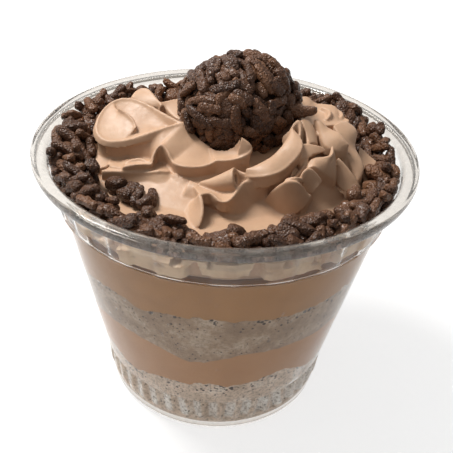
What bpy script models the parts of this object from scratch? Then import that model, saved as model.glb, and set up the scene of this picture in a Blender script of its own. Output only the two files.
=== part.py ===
"""Cup of brigadeiro cake: a clear plastic cup filled with two layers of cake and two of
brigadeiro cream, topped with a piped swirl, a ring of chocolate sprinkles and one brigadeiro.

The frame: origin at the centre of the cup's foot, +Z up, front of the swirl towards -Y.
Sizes are written in millimetres and scaled to metres where a mesh is made.
"""
import math
import random

import bmesh
import bpy
import numpy as np

MM = 0.001
GAP = 0.3                     # clearance between touching pieces
GOLDEN_SHARE = 0.618034       # of a turn between one sprinkle and the next: spreads them evenly

# ---- cup -------------------------------------------------------------------------
COLUMNS = 88                  # steps round the cup: 4 to a lug, 2 to a flute
WALL = 0.5
RIM_R = 49.0
CUP_HEIGHT = 74.5
LIP_Z = 72.0                  # lower edge of the rolled lip
LEDGE_R = 42.4                # outside of the wall just below the stacking ledge
LEDGE_Z = 60.6
NECK_LOW = (43.5, 61.3)       # radius and height where the neck starts above the ledge
NECK_HIGH = (45.1, 70.0)
LUG = 0.7                     # how far the stacking lugs step inwards
HEEL_R = 31.8
FLUTE_LOW_Z = 6.0
FLUTE_HIGH_Z = 12.2
FLUTE = 0.35                  # half the depth of the flutes
BAND_TOP_Z = 13.2
FOOT_IN_R = 27.3              # the foot is the ring between these two radii
FOOT_OUT_R = 30.2
BASE_PUSH = 3.0               # how far the base is pushed up inside the foot

# ---- layers: height of each top edge, and its bumps as (height, angle, width in degrees)
LAYER_COLUMNS = 44
LAYER_EDGES = {
    "cake_bottom": (20.4, ((-3.0, -129, 9), (1.4, -92, 7), (3.2, -61, 12), (-2.2, -36, 10), (1.6, 120, 30))),
    "cream_lower": (34.8, ((-4.0, -98, 13), (-2.2, -150, 8), (-1.6, 40, 25), (-2.4, 150, 20))),
    "cake_middle": (47.8, ((-1.4, -117, 5), (0.9, -94, 10), (-3.2, -150, 8), (0.8, -44, 9), (-1.5, 90, 30))),
    "cream_upper": (60.2, ()),
}

# ---- brigadeiro ------------------------------------------------------------------
BALL_C = (2.4, 7.2, 81.6)
BALL_CORE_R = 13.6
BALL_R = 15.6                 # over its sprinkles
BALL_SPRINKLES = 60

# ---- swirl -----------------------------------------------------------------------
SWIRL_C = (0.0, 6.0)
SKIRT_Z = 66.4
SWIRL_R = 29.5
SWIRL_RISE = 9.5
CREAM_Z = 60.5                # underside of the swirl, on the upper cream
VOXEL = 0.6                   # size of the cells that join the folds into one body
CREAM_FACES = 2300            # faces kept of the bare swirl

# ---- sprinkles: the shortest and longest, the thinnest and thickest -----------------
RING_SPRINKLES = 84
SPRINKLE_SIDES = 5
RING_LENGTHS = (4.5, 8.5)
BALL_LENGTHS = (4.0, 8.0)
WIDTHS = (2.4, 3.6)

# the folds are arcs round the brigadeiro's axis. Each has its start and its end, as degrees round
# the axis, distance from it and height, and how far its middle bulges from the straight in each
AXIS = (2.5, 7.0)
ARCS = {
    # the big lobe on the left: its nose under the tip, its belly and the hood behind it
    "ball_edge": ((-153, 15, 78), (-101, 17.5, 74.5), (2, -4, -1.5)),
    "belly_edge": ((-160, 35, 73.5), (-147, 25, 70.5), (-4, 0, -1)),
    "hood": ((169, 29, 79), (175, 20, 79), (-11, 2, 1.5)),
    "hood_foot": ((170, 29, 79), (175, 20, 78), (0, 0, 0)),
    "flank_top": ((172, 21, 79.5), (158, 15, 80), (0, 0, 0)),
    "flank_low": ((175, 19, 78), (199, 13, 77), (0, 0, 0)),
    # the frill between the lobe and the front, with its hairpin and the curl at its end
    "inner_left": ((-147, 33, 71), (-140, 27, 72), (0, 0, 0.5)),
    "hairpin": ((-140, 27, 72), (-132, 23, 73), (-8, -2, 3)),
    "inner_front": ((-132, 23, 73), (-104, 19.5, 75), (0, 1.5, -0.5)),
    "inner_curl": ((-104, 19.5, 75), (-87, 17.5, 81), (15, 1, 0)),
    "curl_ball": ((-120, 13.5, 75), (-87, 15, 80), (5, 0.5, -1.5)),
    # the step below it, and the slope down to the sprinkles
    "left_ridge": ((-165, 32, 70.5), (-155, 35, 69.5), (0, 0, 0)),
    "left_out": ((-171, 36, 70.5), (-158, 38.5, 68), (0, 0, 0)),
    "left_front": ((-153, 35, 70), (-148, 33, 70.5), (0, 0, 0)),
    "under_belly": ((-171, 33, 70), (-151, 25, 71), (0, 0, 0)),
    "ledge_in": ((-154, 35, 69.5), (-142, 23, 70.5), (0, 0, 0)),
    "ledge": ((-153, 37, 69), (-132, 24, 70.5), (1, -1, 0.5)),
    "inner_foot": ((-132, 24, 70.5), (-114, 22.5, 70), (0, 0.5, 0)),
    "slope_foot": ((-152, 38, 65), (-111, 33, 65.5), (-2, -4, 0)),
    "slope_right": ((-111, 33, 66), (-108, 27, 69), (2, 0, 0.5)),
    # the frill across the front
    "terrace_in": ((-116, 24, 70), (-80, 23.5, 73), (0, -0.5, -1)),
    "front_tip": ((-102, 37, 67), (-105, 30.5, 71.5), (1.5, 0, 0.5)),
    "front_hump": ((-105, 30.5, 71.5), (-82, 25, 73.5), (0, 1.7, -1.2), (1.5, -1.5, 0.4)),
    "front_right": ((-82, 25, 73.5), (-73, 25.5, 75), (0, 0, 0)),
    "foot_tip": ((-106, 36, 65), (-109, 29, 67), (0, 0, 0)),
    "foot_run": ((-109, 28, 67), (-70, 24.5, 67), (0, 1.5, 0), (1.5, -1, 0)),
    # the crown in front of the brigadeiro
    "crown_lip": ((-84, 24, 74), (-43, 18, 81.5), (4, 5.5, 0)),
    "crown_in": ((-84, 23, 75.5), (-44, 18, 81.5), (-4, 1.5, -0.5)),
    "crown_foot": ((-81, 20.5, 68), (-48, 17.5, 79.5), (4, 4, -5)),
    "crown_rim": ((-43, 18, 81.5), (-44, 21, 80), (8, -1, 2)),
    # the fan on the right: two small curls, then the tall folds up to the slab at the back
    "h_lip": ((-71, 26, 68.5), (-57, 32.5, 73), (0, 1.5, 5)),
    "h_low": ((-72, 25, 67.5), (-57, 32.5, 72.5), (1, 2.5, -3)),
    "j_top": ((-52, 28, 76), (-34, 28, 79), (0, 0, 0)),
    "j_drop": ((-34, 28, 79), (-40, 31.5, 72), (1, 0, 0.5)),
    "j_low": ((-48, 29.5, 76), (-40, 31.5, 72), (0, 0, 0.3)),
    "n_ridge": ((-32, 29.5, 76), (-32, 36.5, 70), (0, 0, 0.7)),
    "n_low": ((-32, 29, 73), (-32, 36.5, 69.5), (-3, 0, -1.8)),
    "l_out": ((-2, 28, 79), (-29, 35, 70), (0, 1, 1.3)),
    "l_in": ((-14, 25, 80), (-28, 34, 70.5), (-2, 0, 1)),
    "k_top": ((-18, 20, 81), (-24, 30.5, 78), (1.5, -1, 1.3)),
    "k_low": ((-21, 21, 80), (-25, 30.5, 77), (-8, 0, -0.8)),
    "m_out": ((-7, 32.5, 73.5), (-12, 37.5, 71.5), (0, 0, 0)),
    "m_in": ((-15, 32.5, 72.5), (-25, 36.5, 68.5), (0, 0, 0)),
    "o_top": ((-56, 30, 70.5), (-34, 33.5, 67.5), (2, -1.5, 2.5)),
    "o_low": ((-59, 31, 66.5), (-37, 33.5, 67), (-1, 2.5, -1)),
    "r_top": ((-47, 21.5, 79), (-35, 26, 78), (0, 0, 0.5)),
    "r_low": ((-51, 24, 77), (-34, 26, 77.5), (0, 0, 0)),
    "s_top": ((-29, 17.5, 82), (-33, 24, 78), (9, -1, 1)),
    "s_low": ((-34, 20, 81), (-42, 23, 79), (0, 0, 0)),
    "q_top": ((30, 18.5, 80.5), (5, 30, 78), (3, 1, 0)),
    "q_low": ((-16, 16, 79.5), (2, 29, 78), (-2, 0.5, 0)),
    # the ruffles behind, which the brigadeiro hides
    "back_wave": ((30, 24.5, 73.5), (148, 28, 73), (0, -9.5, 1), (5, -1.2, 0.5)),
    "back_in": ((27, 18, 79), (155, 19, 78), (0, -1.5, 0)),
    "back_low": ((21, 27, 69), (161, 31, 70), (0, -10, 0), (5, 0.6, 0.3)),
}
LOBE = ((-153, 15, 78.5), (-174, 36, 77))    # where the big lobe starts, and its tip
LOBE_HALF = 7.4                              # half its width
LOBE_TILT = 2.6                              # how far its front edge lies below its middle
# faces stretched between two runs of lines, and how far the middle sags
FACES = (
    ("lobe_front", "lobe_back", 1.3),
    ("hood", "hood_foot", -0.4),
    ("flank_top", "flank_low", 0.2),
    ("lobe_lip ball_edge", "belly_edge hairpin inner_front", 0.3),
    ("inner_curl", "curl_ball", 0.6),
    ("left_out", "left_ridge", 0.2),
    ("under_belly", "left_front inner_left", 0.2),
    ("ledge_in", "ledge", 0.1),
    ("ledge inner_foot", "slope_foot slope_right", 0.8),
    ("terrace_in", "front_hump", 0.2),
    ("crown_lip", "crown_in", -0.6),
    ("j_low", "j_top j_drop", -0.7),
    ("l_out", "l_in", -0.5),
    ("k_top", "k_low", -0.8),
    ("m_out", "m_in", -0.3),
    ("o_top", "o_low", 0.9),
    ("back_wave", "back_in", 0.5),
    ("back_low", "back_wave", 0.5),
    ("s_top", "s_low", -0.5),
    ("q_top", "q_low", 0.4),
)
# standing folds along runs of lines: depth, width at the foot, and a line for the foot
# where it does not follow the crest
CRESTS = (
    ("lobe_front", 3.0, 3.0, None),
    ("lobe_back", 4.0, 3.0, None),
    ("hood", 4.0, 3.0, None),
    ("inner_left hairpin inner_front inner_curl", 6.0, 3.5, None),
    ("ledge", 3.0, 3.0, None),
    ("front_tip front_hump front_right", 0, 3.0, "foot_tip foot_run"),
    ("crown_lip", 0, 3.0, "crown_foot"),
    ("crown_rim", 4.0, 3.0, None),
    ("h_lip", 0, 3.0, "h_low"),
    ("j_top j_drop", 4.0, 3.0, None),
    ("n_ridge", 0, 3.0, "n_low"),
    ("r_top", 0, 3.0, "r_low"),
    ("back_wave", 4.0, 3.0, None),
    ("back_low", 4.0, 3.0, None),
)
CREST_WIDTH = 1.7
BASE_Z = 64.0
# the rolled end of the inner ribbon, from its tip to its mouth, and its half width there
TUBE = ((-110, 24, 70.5), (-89, 24.5, 73.5), (0, 0, -0.5))
TUBE_HALF = 2.8

MATERIALS = {                 # base colour, roughness, transparency
    "clear_plastic": ((0.86, 0.87, 0.86), 0.12, 0.85),
    "cake": ((0.37, 0.29, 0.23), 0.85, 0.0),
    "brigadeiro_cream": ((0.36, 0.22, 0.145), 0.50, 0.0),
    "piped_cream": ((0.55, 0.34, 0.235), 0.45, 0.0),
    "chocolate_sprinkle": ((0.055, 0.030, 0.018), 0.35, 0.0),
}


# ---- helpers ---------------------------------------------------------------------
def clear_scene():
    for obj in list(bpy.data.objects):
        bpy.data.objects.remove(obj)


def make_material(name):
    colour, roughness, transparency = MATERIALS[name]
    material = bpy.data.materials.new(name)
    material.use_nodes = True
    shader = material.node_tree.nodes["Principled BSDF"]
    shader.inputs["Base Color"].default_value = (*colour, 1.0)
    shader.inputs["Roughness"].default_value = roughness
    shader.inputs["Metallic"].default_value = 0.0
    shader.inputs["Transmission Weight"].default_value = transparency
    return material


def make_object(name, verts, faces, material=None, collection=None):
    """A mesh object from points in millimetres."""
    mesh = bpy.data.meshes.new(name)
    mesh.from_pydata((np.asarray(verts, float) * MM).tolist(), [], faces)
    mesh.update()
    obj = bpy.data.objects.new(name, mesh)
    (collection or bpy.context.scene.collection).objects.link(obj)
    if material:
        mesh.materials.append(material)
    return obj


def loft(grid, closed_ends=True):
    """Faces over a grid of rings (stations x points round x 3)."""
    stations, around = grid.shape[:2]
    faces = []
    for i in range(stations - 1):
        for j in range(around):
            k = (j + 1) % around
            faces.append((i * around + j, i * around + k, (i + 1) * around + k, (i + 1) * around + j))
    if closed_ends:
        last = (stations - 1) * around
        faces.append(tuple(range(around))[::-1])
        faces.append(tuple(last + j for j in range(around)))
    return grid.reshape(-1, 3), faces


def apply_modifiers(obj):
    """Replaces the object's mesh by what its modifiers make of it."""
    graph = bpy.context.evaluated_depsgraph_get()
    mesh = bpy.data.meshes.new_from_object(obj.evaluated_get(graph))
    obj.modifiers.clear()
    obj.data = mesh


def keep_outer_body(obj):
    """Drops loose scraps and sealed hollows: only the largest body stays."""
    bm = bmesh.new()
    bm.from_mesh(obj.data)
    bm.verts.ensure_lookup_table()
    seen = set()
    bodies = []
    for start in bm.verts:
        if start.index in seen:
            continue
        body = [start]
        seen.add(start.index)
        for vert in body:
            for edge in vert.link_edges:
                other = edge.other_vert(vert)
                if other.index not in seen:
                    seen.add(other.index)
                    body.append(other)
        bodies.append(body)
    bodies.sort(key=len)
    for body in bodies[:-1]:
        bmesh.ops.delete(bm, geom=body, context="VERTS")
    bm.to_mesh(obj.data)
    bm.free()


def fuse(obj, parts):
    """Joins every object of a collection to obj, then removes them."""
    union = obj.modifiers.new("union", "BOOLEAN")
    union.operation = "UNION"
    union.operand_type = "COLLECTION"
    union.collection = parts
    union.solver = "EXACT"
    apply_modifiers(obj)
    for part in list(parts.objects):
        bpy.data.objects.remove(part)
    bpy.data.collections.remove(parts)
    keep_outer_body(obj)


def new_collection(name):
    collection = bpy.data.collections.new(name)
    bpy.context.scene.collection.children.link(collection)
    return collection


def round_off(obj, angle=50):
    obj.data.shade_smooth()
    obj.data.set_sharp_from_angle(angle=math.radians(angle))


# ---- cup -------------------------------------------------------------------------
def cup_profile():
    """Rings of the cup as (radius, height, ripple): up the outside, over the rim, down inside."""
    low_r, low_z = NECK_LOW
    high_r, high_z = NECK_HIGH
    inside = WALL
    outer = [
        (FOOT_IN_R - BASE_PUSH, BASE_PUSH, ""),
        (FOOT_IN_R, 0.0, ""),
        (FOOT_OUT_R, 0.0, ""),
        (HEEL_R - 0.1, 1.8, ""),
        (HEEL_R, FLUTE_LOW_Z - 0.6, ""),
        (HEEL_R + 0.1, FLUTE_LOW_Z, "flute"),
        (HEEL_R + 0.4, FLUTE_HIGH_Z, "flute"),
        (HEEL_R + 0.5, BAND_TOP_Z, ""),
        (LEDGE_R, LEDGE_Z, ""),
        (low_r, low_z, "lug"),
        (high_r, high_z, "lug"),
        (high_r + 0.9, CUP_HEIGHT - 1.2, ""),
        (RIM_R - 1.0, CUP_HEIGHT - 1.2, ""),
        (RIM_R - 0.5, LIP_Z, ""),
        (RIM_R, CUP_HEIGHT - 1.2, ""),
        (RIM_R - 0.5, CUP_HEIGHT, ""),
    ]
    inner = [
        (RIM_R - 1.7, CUP_HEIGHT - 0.5, ""),
        (high_r + 0.7, CUP_HEIGHT - 0.7, ""),
        (high_r - inside, high_z + 0.6, "lug"),
        (low_r - inside, low_z + 0.2, "lug"),
        (LEDGE_R - inside, LEDGE_Z + 0.2, ""),
        (HEEL_R + 0.5 - inside, BAND_TOP_Z, ""),
        (HEEL_R + 0.4 - inside, FLUTE_HIGH_Z, "flute"),
        (HEEL_R + 0.1 - inside, FLUTE_LOW_Z, "flute"),
        (HEEL_R - 1.6, BASE_PUSH + inside, ""),
        (FOOT_IN_R - BASE_PUSH, BASE_PUSH + inside, ""),
    ]
    return outer + inner


def ripple(kind, column):
    """How far a lug or flute moves this column of the wall in or out."""
    if kind == "lug":
        return -LUG if column % 4 < 2 else 0.0
    if kind == "flute":
        return FLUTE if column % 2 else -FLUTE
    return 0.0


def make_cup(material):
    rings = cup_profile()
    grid = np.empty((len(rings), COLUMNS, 3))
    for i, (radius, height, kind) in enumerate(rings):
        for j in range(COLUMNS):
            angle = 2 * math.pi * j / COLUMNS
            r = radius + ripple(kind, j)
            grid[i, j] = (r * math.cos(angle), r * math.sin(angle), height)
    verts, faces = loft(grid)
    cup = make_object("cup", verts, faces, material)
    round_off(cup)
    return cup


def wall_clear(z):
    """Radius that the contents may fill at height z."""
    low_r, low_z = NECK_LOW
    high_r, high_z = NECK_HIGH
    heights = (BASE_PUSH, FLUTE_LOW_Z, FLUTE_HIGH_Z, BAND_TOP_Z, LEDGE_Z, low_z + 0.3, high_z)
    radii = (HEEL_R - 1.6, HEEL_R + 0.1 - FLUTE, HEEL_R + 0.4 - FLUTE, HEEL_R + 0.5 - FLUTE,
             LEDGE_R, low_r - LUG, high_r - LUG)
    return np.interp(z, heights, radii) - WALL - GAP


# ---- layers ----------------------------------------------------------------------
def edge_height(layer, degrees):
    """Height of a layer's top edge at the wall."""
    height, bumps = LAYER_EDGES[layer]
    for rise, at, width in bumps:
        turn = (degrees - at + 180) % 360 - 180
        height += rise * math.exp(-(turn / width) ** 2)
    return height


def make_layer(name, below, material):
    """One layer of cake or cream, from the top of the layer below to its own top."""
    angles = np.linspace(0, 360, LAYER_COLUMNS, endpoint=False)
    top = np.array([edge_height(name, a) for a in angles])
    if below:
        foot = np.array([edge_height(below, a) for a in angles]) + GAP
        levels = [foot, top]
    else:
        foot = np.full(LAYER_COLUMNS, BASE_PUSH + WALL + GAP)
        levels = [foot, np.full(LAYER_COLUMNS, FLUTE_LOW_Z), np.full(LAYER_COLUMNS, BAND_TOP_Z), top]
    rings = []
    for level in levels:
        radius = wall_clear(level)
        x = radius * np.cos(np.radians(angles))
        y = radius * np.sin(np.radians(angles))
        rings.append(np.stack([x, y, level], axis=1))
    verts, faces = loft(np.array(rings), closed_ends=False)
    verts = np.vstack([verts, (0, 0, foot.mean()), (0, 0, top.mean())])
    low, high = len(verts) - 2, len(verts) - 1
    last = (len(rings) - 1) * LAYER_COLUMNS
    for j in range(LAYER_COLUMNS):
        k = (j + 1) % LAYER_COLUMNS
        faces.append((low, k, j))
        faces.append((high, last + j, last + k))
    layer = make_object(name, verts, faces, material)
    round_off(layer)
    return layer


# ---- sprinkles -------------------------------------------------------------------
def sprinkle_mesh(rng, centre, along, length, width):
    """One rough rod of chocolate: a prism of uneven ends."""
    sides = SPRINKLE_SIDES
    along = np.asarray(along, float)
    along = along / np.linalg.norm(along)
    across = np.cross(along, (0.31, 0.22, 0.92))
    across = across / np.linalg.norm(across)
    third = np.cross(along, across)
    rings = []
    for at in (-0.5, 0.5):
        size = width * rng.uniform(0.42, 0.52)
        for k in range(sides):
            turn = 2 * math.pi * k / sides
            side = across * math.cos(turn) + third * math.sin(turn)
            rings.append(centre + along * at * length + side * size)
    return loft(np.array(rings).reshape(2, sides, 3))


def ring_inner(angle):
    """Radius where the ring of sprinkles starts, from the cup's axis."""
    return 33.0 + 4.5 * np.sin(angle) + 1.5 * np.cos(2 * angle)


def heap_height(x, y):
    """How far the heap of sprinkles lifts the skirt towards the wall."""
    angle = np.arctan2(y, x)
    depth = 2.6 - 1.5 * np.sin(angle)
    rise = np.clip((np.hypot(x, y) - ring_inner(angle)) / 5.0, 0, 1)
    return depth * rise * rise * (3 - 2 * rise)


def ring_sprinkle(rng, index):
    """Centre, direction, length and width of one sprinkle of the ring."""
    angle = 2 * math.pi * (index * GOLDEN_SHARE % 1.0) + rng.uniform(-0.02, 0.02)
    length = rng.uniform(*RING_LENGTHS)
    width = rng.uniform(*WIDTHS)
    inner = float(ring_inner(angle))
    depth = rng.random()
    lean = rng.uniform(-0.9, 0.9)
    turn = angle + math.pi / 2 + lean
    along = np.array([math.cos(turn), math.sin(turn), rng.uniform(-0.25, 0.35)])
    reach = 0.5 * length * abs(math.sin(lean)) + 0.55 * width
    outer = float(wall_clear(SKIRT_Z)) - reach
    radius = inner + 1.5 + depth * (outer - inner - 1.5)
    x, y = radius * math.cos(angle), radius * math.sin(angle)
    z = float(cream_height(np.array(x), np.array(y))) + 0.25 * width
    return np.array([x, y, z]), along, length, width


def add_ring_sprinkles(cream):
    rng = random.Random(11)
    parts = new_collection("ring_sprinkles")
    for index in range(RING_SPRINKLES):
        centre, along, length, width = ring_sprinkle(rng, index)
        verts, faces = sprinkle_mesh(rng, centre, along, length, width)
        make_object("ring_sprinkle", verts, faces, collection=parts)
    fuse(cream, parts)


# ---- piped cream -----------------------------------------------------------------
def cream_height(x, y):
    """Height of the bare mound, its skirt and the heap at the wall."""
    reach = np.hypot((x - SWIRL_C[0]) / 1.12, y - SWIRL_C[1])
    cone = SWIRL_RISE * (1 - np.clip(reach / SWIRL_R, 0, 1) ** 1.3)
    right = 2.0 * np.exp(-((x - 17) / 8) ** 2 - ((y + 3) / 9) ** 2)
    return SKIRT_Z + cone + right + heap_height(x, y)


def mound():
    """The bare mound as a polar height field over a flat underside."""
    radii = np.append(np.arange(0, 42.0, 1.4), 42.6)
    radii[0] = 0.05
    angles = np.linspace(0, 2 * math.pi, 120, endpoint=False)
    far, turn = np.meshgrid(radii, angles, indexing="ij")
    x, y = far * np.cos(turn), far * np.sin(turn)
    top = np.stack([x, y, cream_height(x, y)], axis=2)
    shelf = top[-1:].copy()
    shelf[..., 2] = NECK_LOW[1] + 1.5
    shelf[..., :2] *= wall_clear(NECK_LOW[1] + 1.5) / radii[-1]
    neck = shelf.copy()
    neck[..., 2] = CREAM_Z
    neck[..., :2] *= wall_clear(LEDGE_Z) / wall_clear(NECK_LOW[1] + 1.5)
    low = top[:1].copy()
    low[..., 2] = CREAM_Z
    return loft(np.concatenate([top, shelf, neck, low])[::-1])


def round_axis(line):
    """Points in the cup's frame from degrees, distance and height round the brigadeiro's axis."""
    turn = np.radians(line[:, 0])
    x = AXIS[0] + line[:, 1] * np.cos(turn)
    y = AXIS[1] + line[:, 1] * np.sin(turn)
    return np.column_stack([x, y, line[:, 2]])


def arc(start, end, bulge, ruffle=(0, 0, 0)):
    """A fold's line; its ruffles are how many, how far out and how far up."""
    waves, out, up = ruffle
    part = np.linspace(0, 1, 9 + round(6 * waves))[:, None]
    line = (1 - part) * start + part * end + 4 * part * (1 - part) * bulge
    return round_axis(line + np.sin(2 * math.pi * waves * part) * (0, out, up))


def lobe_edge(first, last):
    """A stretch of the lobe's edge, a teardrop: 0 at its start, the front side, 0.5 at its tip, 1 back."""
    share = np.linspace(first, last, 12)
    start, tip = round_axis(np.array(LOBE, float))
    along = (1 - np.cos(2 * math.pi * share)) / 2
    across = np.sin(2 * math.pi * share) * np.sin(math.pi * share) ** 2 / 0.65
    run = tip - start
    side = np.array((-run[1], run[0], 0)) / np.hypot(run[0], run[1]) * LOBE_HALF
    return start + along[:, None] * run + across[:, None] * (side - (0, 0, LOBE_TILT))


def run_of(names):
    """The points of one or more lines, end to end."""
    stretches = {"lobe_front": (0.0, 0.5), "lobe_back": (1.0, 0.5), "lobe_lip": (0.36, 0.0)}
    points = []
    for name in names.split():
        line = lobe_edge(*stretches[name]) if name in stretches else arc(*ARCS[name])
        skip = 1 if points and math.dist(points[-1], line[0]) < 0.8 else 0
        points += list(line[skip:])
    return points


def curve_through(points, step):
    """A centripetal Catmull-Rom curve through the points, sampled every step."""
    knots = np.array(points, float)
    knots = np.vstack([2 * knots[0] - knots[1], knots, 2 * knots[-1] - knots[-2]])
    fine = []
    for a, b, c, d in zip(knots[:-3], knots[1:-2], knots[2:-1], knots[3:]):
        t1 = np.linalg.norm(b - a) ** 0.5
        t2 = t1 + np.linalg.norm(c - b) ** 0.5
        t3 = t2 + np.linalg.norm(d - c) ** 0.5
        for t in np.linspace(t1, t2, 16, endpoint=False):
            ab = ((t1 - t) * a + t * b) / t1
            bc = ((t2 - t) * b + (t - t1) * c) / (t2 - t1)
            cd = ((t3 - t) * c + (t - t2) * d) / (t3 - t2)
            abc = ((t2 - t) * ab + t * bc) / t2
            bcd = ((t3 - t) * bc + (t - t1) * cd) / (t3 - t1)
            fine.append(((t2 - t) * abc + (t - t1) * bcd) / (t2 - t1))
    fine = np.array(fine + [knots[-2]])
    run = np.append(0, np.cumsum(np.linalg.norm(np.diff(fine, axis=0), axis=1)))
    at = np.linspace(0, run[-1], max(4, round(run[-1] / step) + 1))
    return np.stack([np.interp(at, run, fine[:, k]) for k in range(3)], axis=1)


def eased(curve, reach):
    """The curve with its bends evened out over a reach, both ends carried straight on."""
    step = np.linalg.norm(np.diff(curve, axis=0), axis=1).mean()
    n = min(int(3 * reach / step) + 1, len(curve) - 1)
    weight = np.exp(-0.5 * (np.arange(-n, n + 1) * step / reach) ** 2)
    weight /= weight.sum()
    head = 2 * curve[0] - curve[1:n + 1][::-1]
    tail = 2 * curve[-1] - curve[-n - 1:-1][::-1]
    full = np.vstack([head, curve, tail])
    return np.stack([np.convolve(full[:, k], weight, "valid") for k in range(3)], axis=1)


def rightwards(curve):
    """Level unit vectors to the right of the curve's run."""
    run = np.gradient(curve, axis=0)[:, :2]
    run /= np.linalg.norm(run, axis=1)[:, None]
    return np.stack([run[:, 1], -run[:, 0]], axis=1)


def fold_sheet(crest, depth, foot_width, foot, step=1.0):
    """One fold: a thin crest that thickens down to a straighter foot inside the mound."""
    top = curve_through(crest, step)
    if foot is None:
        low = eased(top, 1.5) - (0, 0, depth)
    else:
        foot = curve_through(foot, step)
        at = np.linspace(0, len(foot) - 1, len(top))
        low = np.stack([np.interp(at, np.arange(len(foot)), foot[:, k]) for k in range(3)], axis=1)
    right, left = [], []
    for part in np.linspace(0, 1, 6):
        level = top + (low - top) * part
        side = rightwards(eased(level, 0.8))
        half = 0.5 * (CREST_WIDTH + (foot_width - CREST_WIDTH) * part)
        if part == 0:
            half *= 0.55
            level = level + (0, 0, 0.35)
        right.append(np.column_stack([level[:, :2] + side * half, level[:, 2]]))
        left.append(np.column_stack([level[:, :2] - side * half, level[:, 2]]))
    return loft(np.stack(right + left[::-1], axis=1))


def web_body(edge, other, sag, rows=8, step=1.0):
    """A solid under a sagging face stretched between two edges."""
    edge, other = curve_through(edge, step), curve_through(other, step)
    count = max(len(edge), len(other))
    at = np.linspace(0, 1, count)
    sides = []
    for side in (edge, other):
        run = np.linspace(0, 1, len(side))
        sides.append(np.stack([np.interp(at, run, side[:, k]) for k in range(3)], axis=1))
    top, low = [], []
    for part in np.linspace(0, 1, rows):
        line = sides[0] * (1 - part) + sides[1] * part
        line[:, 2] -= sag * 4 * part * (1 - part) + 0.3
        top.append(line)
        low.append(np.column_stack([line[:, :2], np.full(count, BASE_Z)]))
    return loft(np.stack(top + low[::-1], axis=1))


def tube_body():
    """The rolled ribbon end, widening to its mouth."""
    run = arc(*TUBE)
    half = TUBE_HALF * np.linspace(0.04, 1, len(run))[:, None, None] ** 0.6
    along = run[-1] - run[2]
    across = np.cross(along, (0, 0, 1))
    across /= np.linalg.norm(across)
    up = np.cross(across, along)
    up /= np.linalg.norm(up)
    turn = np.linspace(0, 2 * math.pi, 16, endpoint=False)[None, :, None]
    return loft(run[:, None] + (np.cos(turn) * across + np.sin(turn) * up) * half)


def cream_solids():
    """The mound, every face and every fold, as overlapping closed bodies."""
    bodies = [mound(), tube_body()]
    for edge, other, sag in FACES:
        bodies.append(web_body(run_of(edge), run_of(other), sag))
    for names, depth, width, foot in CRESTS:
        bodies.append(fold_sheet(run_of(names), depth, width, foot and run_of(foot)))
    return bodies


def make_cream(material):
    verts, faces, count = [], [], 0
    for points, polygons in cream_solids():
        verts.append(points)
        faces += [tuple(i + count for i in polygon) for polygon in polygons]
        count += len(points)
    cream = make_object("piped_cream", np.vstack(verts), faces)
    remesh = cream.modifiers.new("one_body", "REMESH")
    remesh.mode = "VOXEL"
    remesh.voxel_size = VOXEL * MM
    even = cream.modifiers.new("even", "SMOOTH")
    even.factor = 0.5
    even.iterations = 3
    apply_modifiers(cream)
    keep_outer_body(cream)
    fewer = cream.modifiers.new("fewer", "DECIMATE")
    fewer.ratio = CREAM_FACES / (2 * len(cream.data.polygons))
    apply_modifiers(cream)
    seat_brigadeiro(cream)
    add_ring_sprinkles(cream)
    cream.data.materials.clear()
    cream.data.materials.append(material)
    round_off(cream, 40)
    return cream


def ball_points(radius, rings, around):
    rows = []
    for i in range(1, rings):
        polar = math.pi * i / rings
        for j in range(around):
            turn = 2 * math.pi * j / around
            rows.append((BALL_C[0] + radius * math.sin(polar) * math.cos(turn),
                         BALL_C[1] + radius * math.sin(polar) * math.sin(turn),
                         BALL_C[2] - radius * math.cos(polar)))
    return loft(np.array(rows).reshape(rings - 1, around, 3))


def seat_brigadeiro(cream):
    """Cuts the hollow that the brigadeiro sits in."""
    verts, faces = ball_points(BALL_R + GAP, 14, 24)
    cutter = make_object("brigadeiro_seat", verts, faces)
    cutter.hide_render = True
    cutter.display_type = "WIRE"
    cut = cream.modifiers.new("seat", "BOOLEAN")
    cut.operation = "DIFFERENCE"
    cut.object = cutter
    cut.solver = "EXACT"
    apply_modifiers(cream)
    bpy.data.objects.remove(cutter)
    keep_outer_body(cream)


# ---- brigadeiro ------------------------------------------------------------------
def make_brigadeiro(material):
    verts, faces = ball_points(BALL_CORE_R, 10, 16)
    ball = make_object("brigadeiro", verts, faces)
    rng = random.Random(5)
    parts = new_collection("ball_sprinkles")
    for index in range(BALL_SPRINKLES):
        rise = 1 - 2 * (index + 0.5) / BALL_SPRINKLES
        turn = 2 * math.pi * GOLDEN_SHARE * index
        flat = math.sqrt(1 - rise * rise)
        out = np.array([flat * math.cos(turn), flat * math.sin(turn), rise])
        length = rng.uniform(*BALL_LENGTHS)
        width = rng.uniform(*WIDTHS)
        along = np.cross(out, (rng.uniform(-1, 1), rng.uniform(-1, 1), rng.uniform(-1, 1)))
        reach = BALL_R - 0.52 * width - length * length / (9 * BALL_R)
        centre = np.array(BALL_C) + out * reach
        points, polygons = sprinkle_mesh(rng, centre, along, length, width)
        make_object("ball_sprinkle", points, polygons, collection=parts)
    fuse(ball, parts)
    ball.data.materials.clear()
    ball.data.materials.append(material)
    round_off(ball, 40)
    return ball


def main():
    clear_scene()
    materials = {name: make_material(name) for name in MATERIALS}
    make_cup(materials["clear_plastic"])
    make_layer("cake_bottom", None, materials["cake"])
    make_layer("cream_lower", "cake_bottom", materials["brigadeiro_cream"])
    make_layer("cake_middle", "cream_lower", materials["cake"])
    make_layer("cream_upper", "cake_middle", materials["brigadeiro_cream"])
    make_cream(materials["piped_cream"])
    make_brigadeiro(materials["chocolate_sprinkle"])


main()
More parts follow.
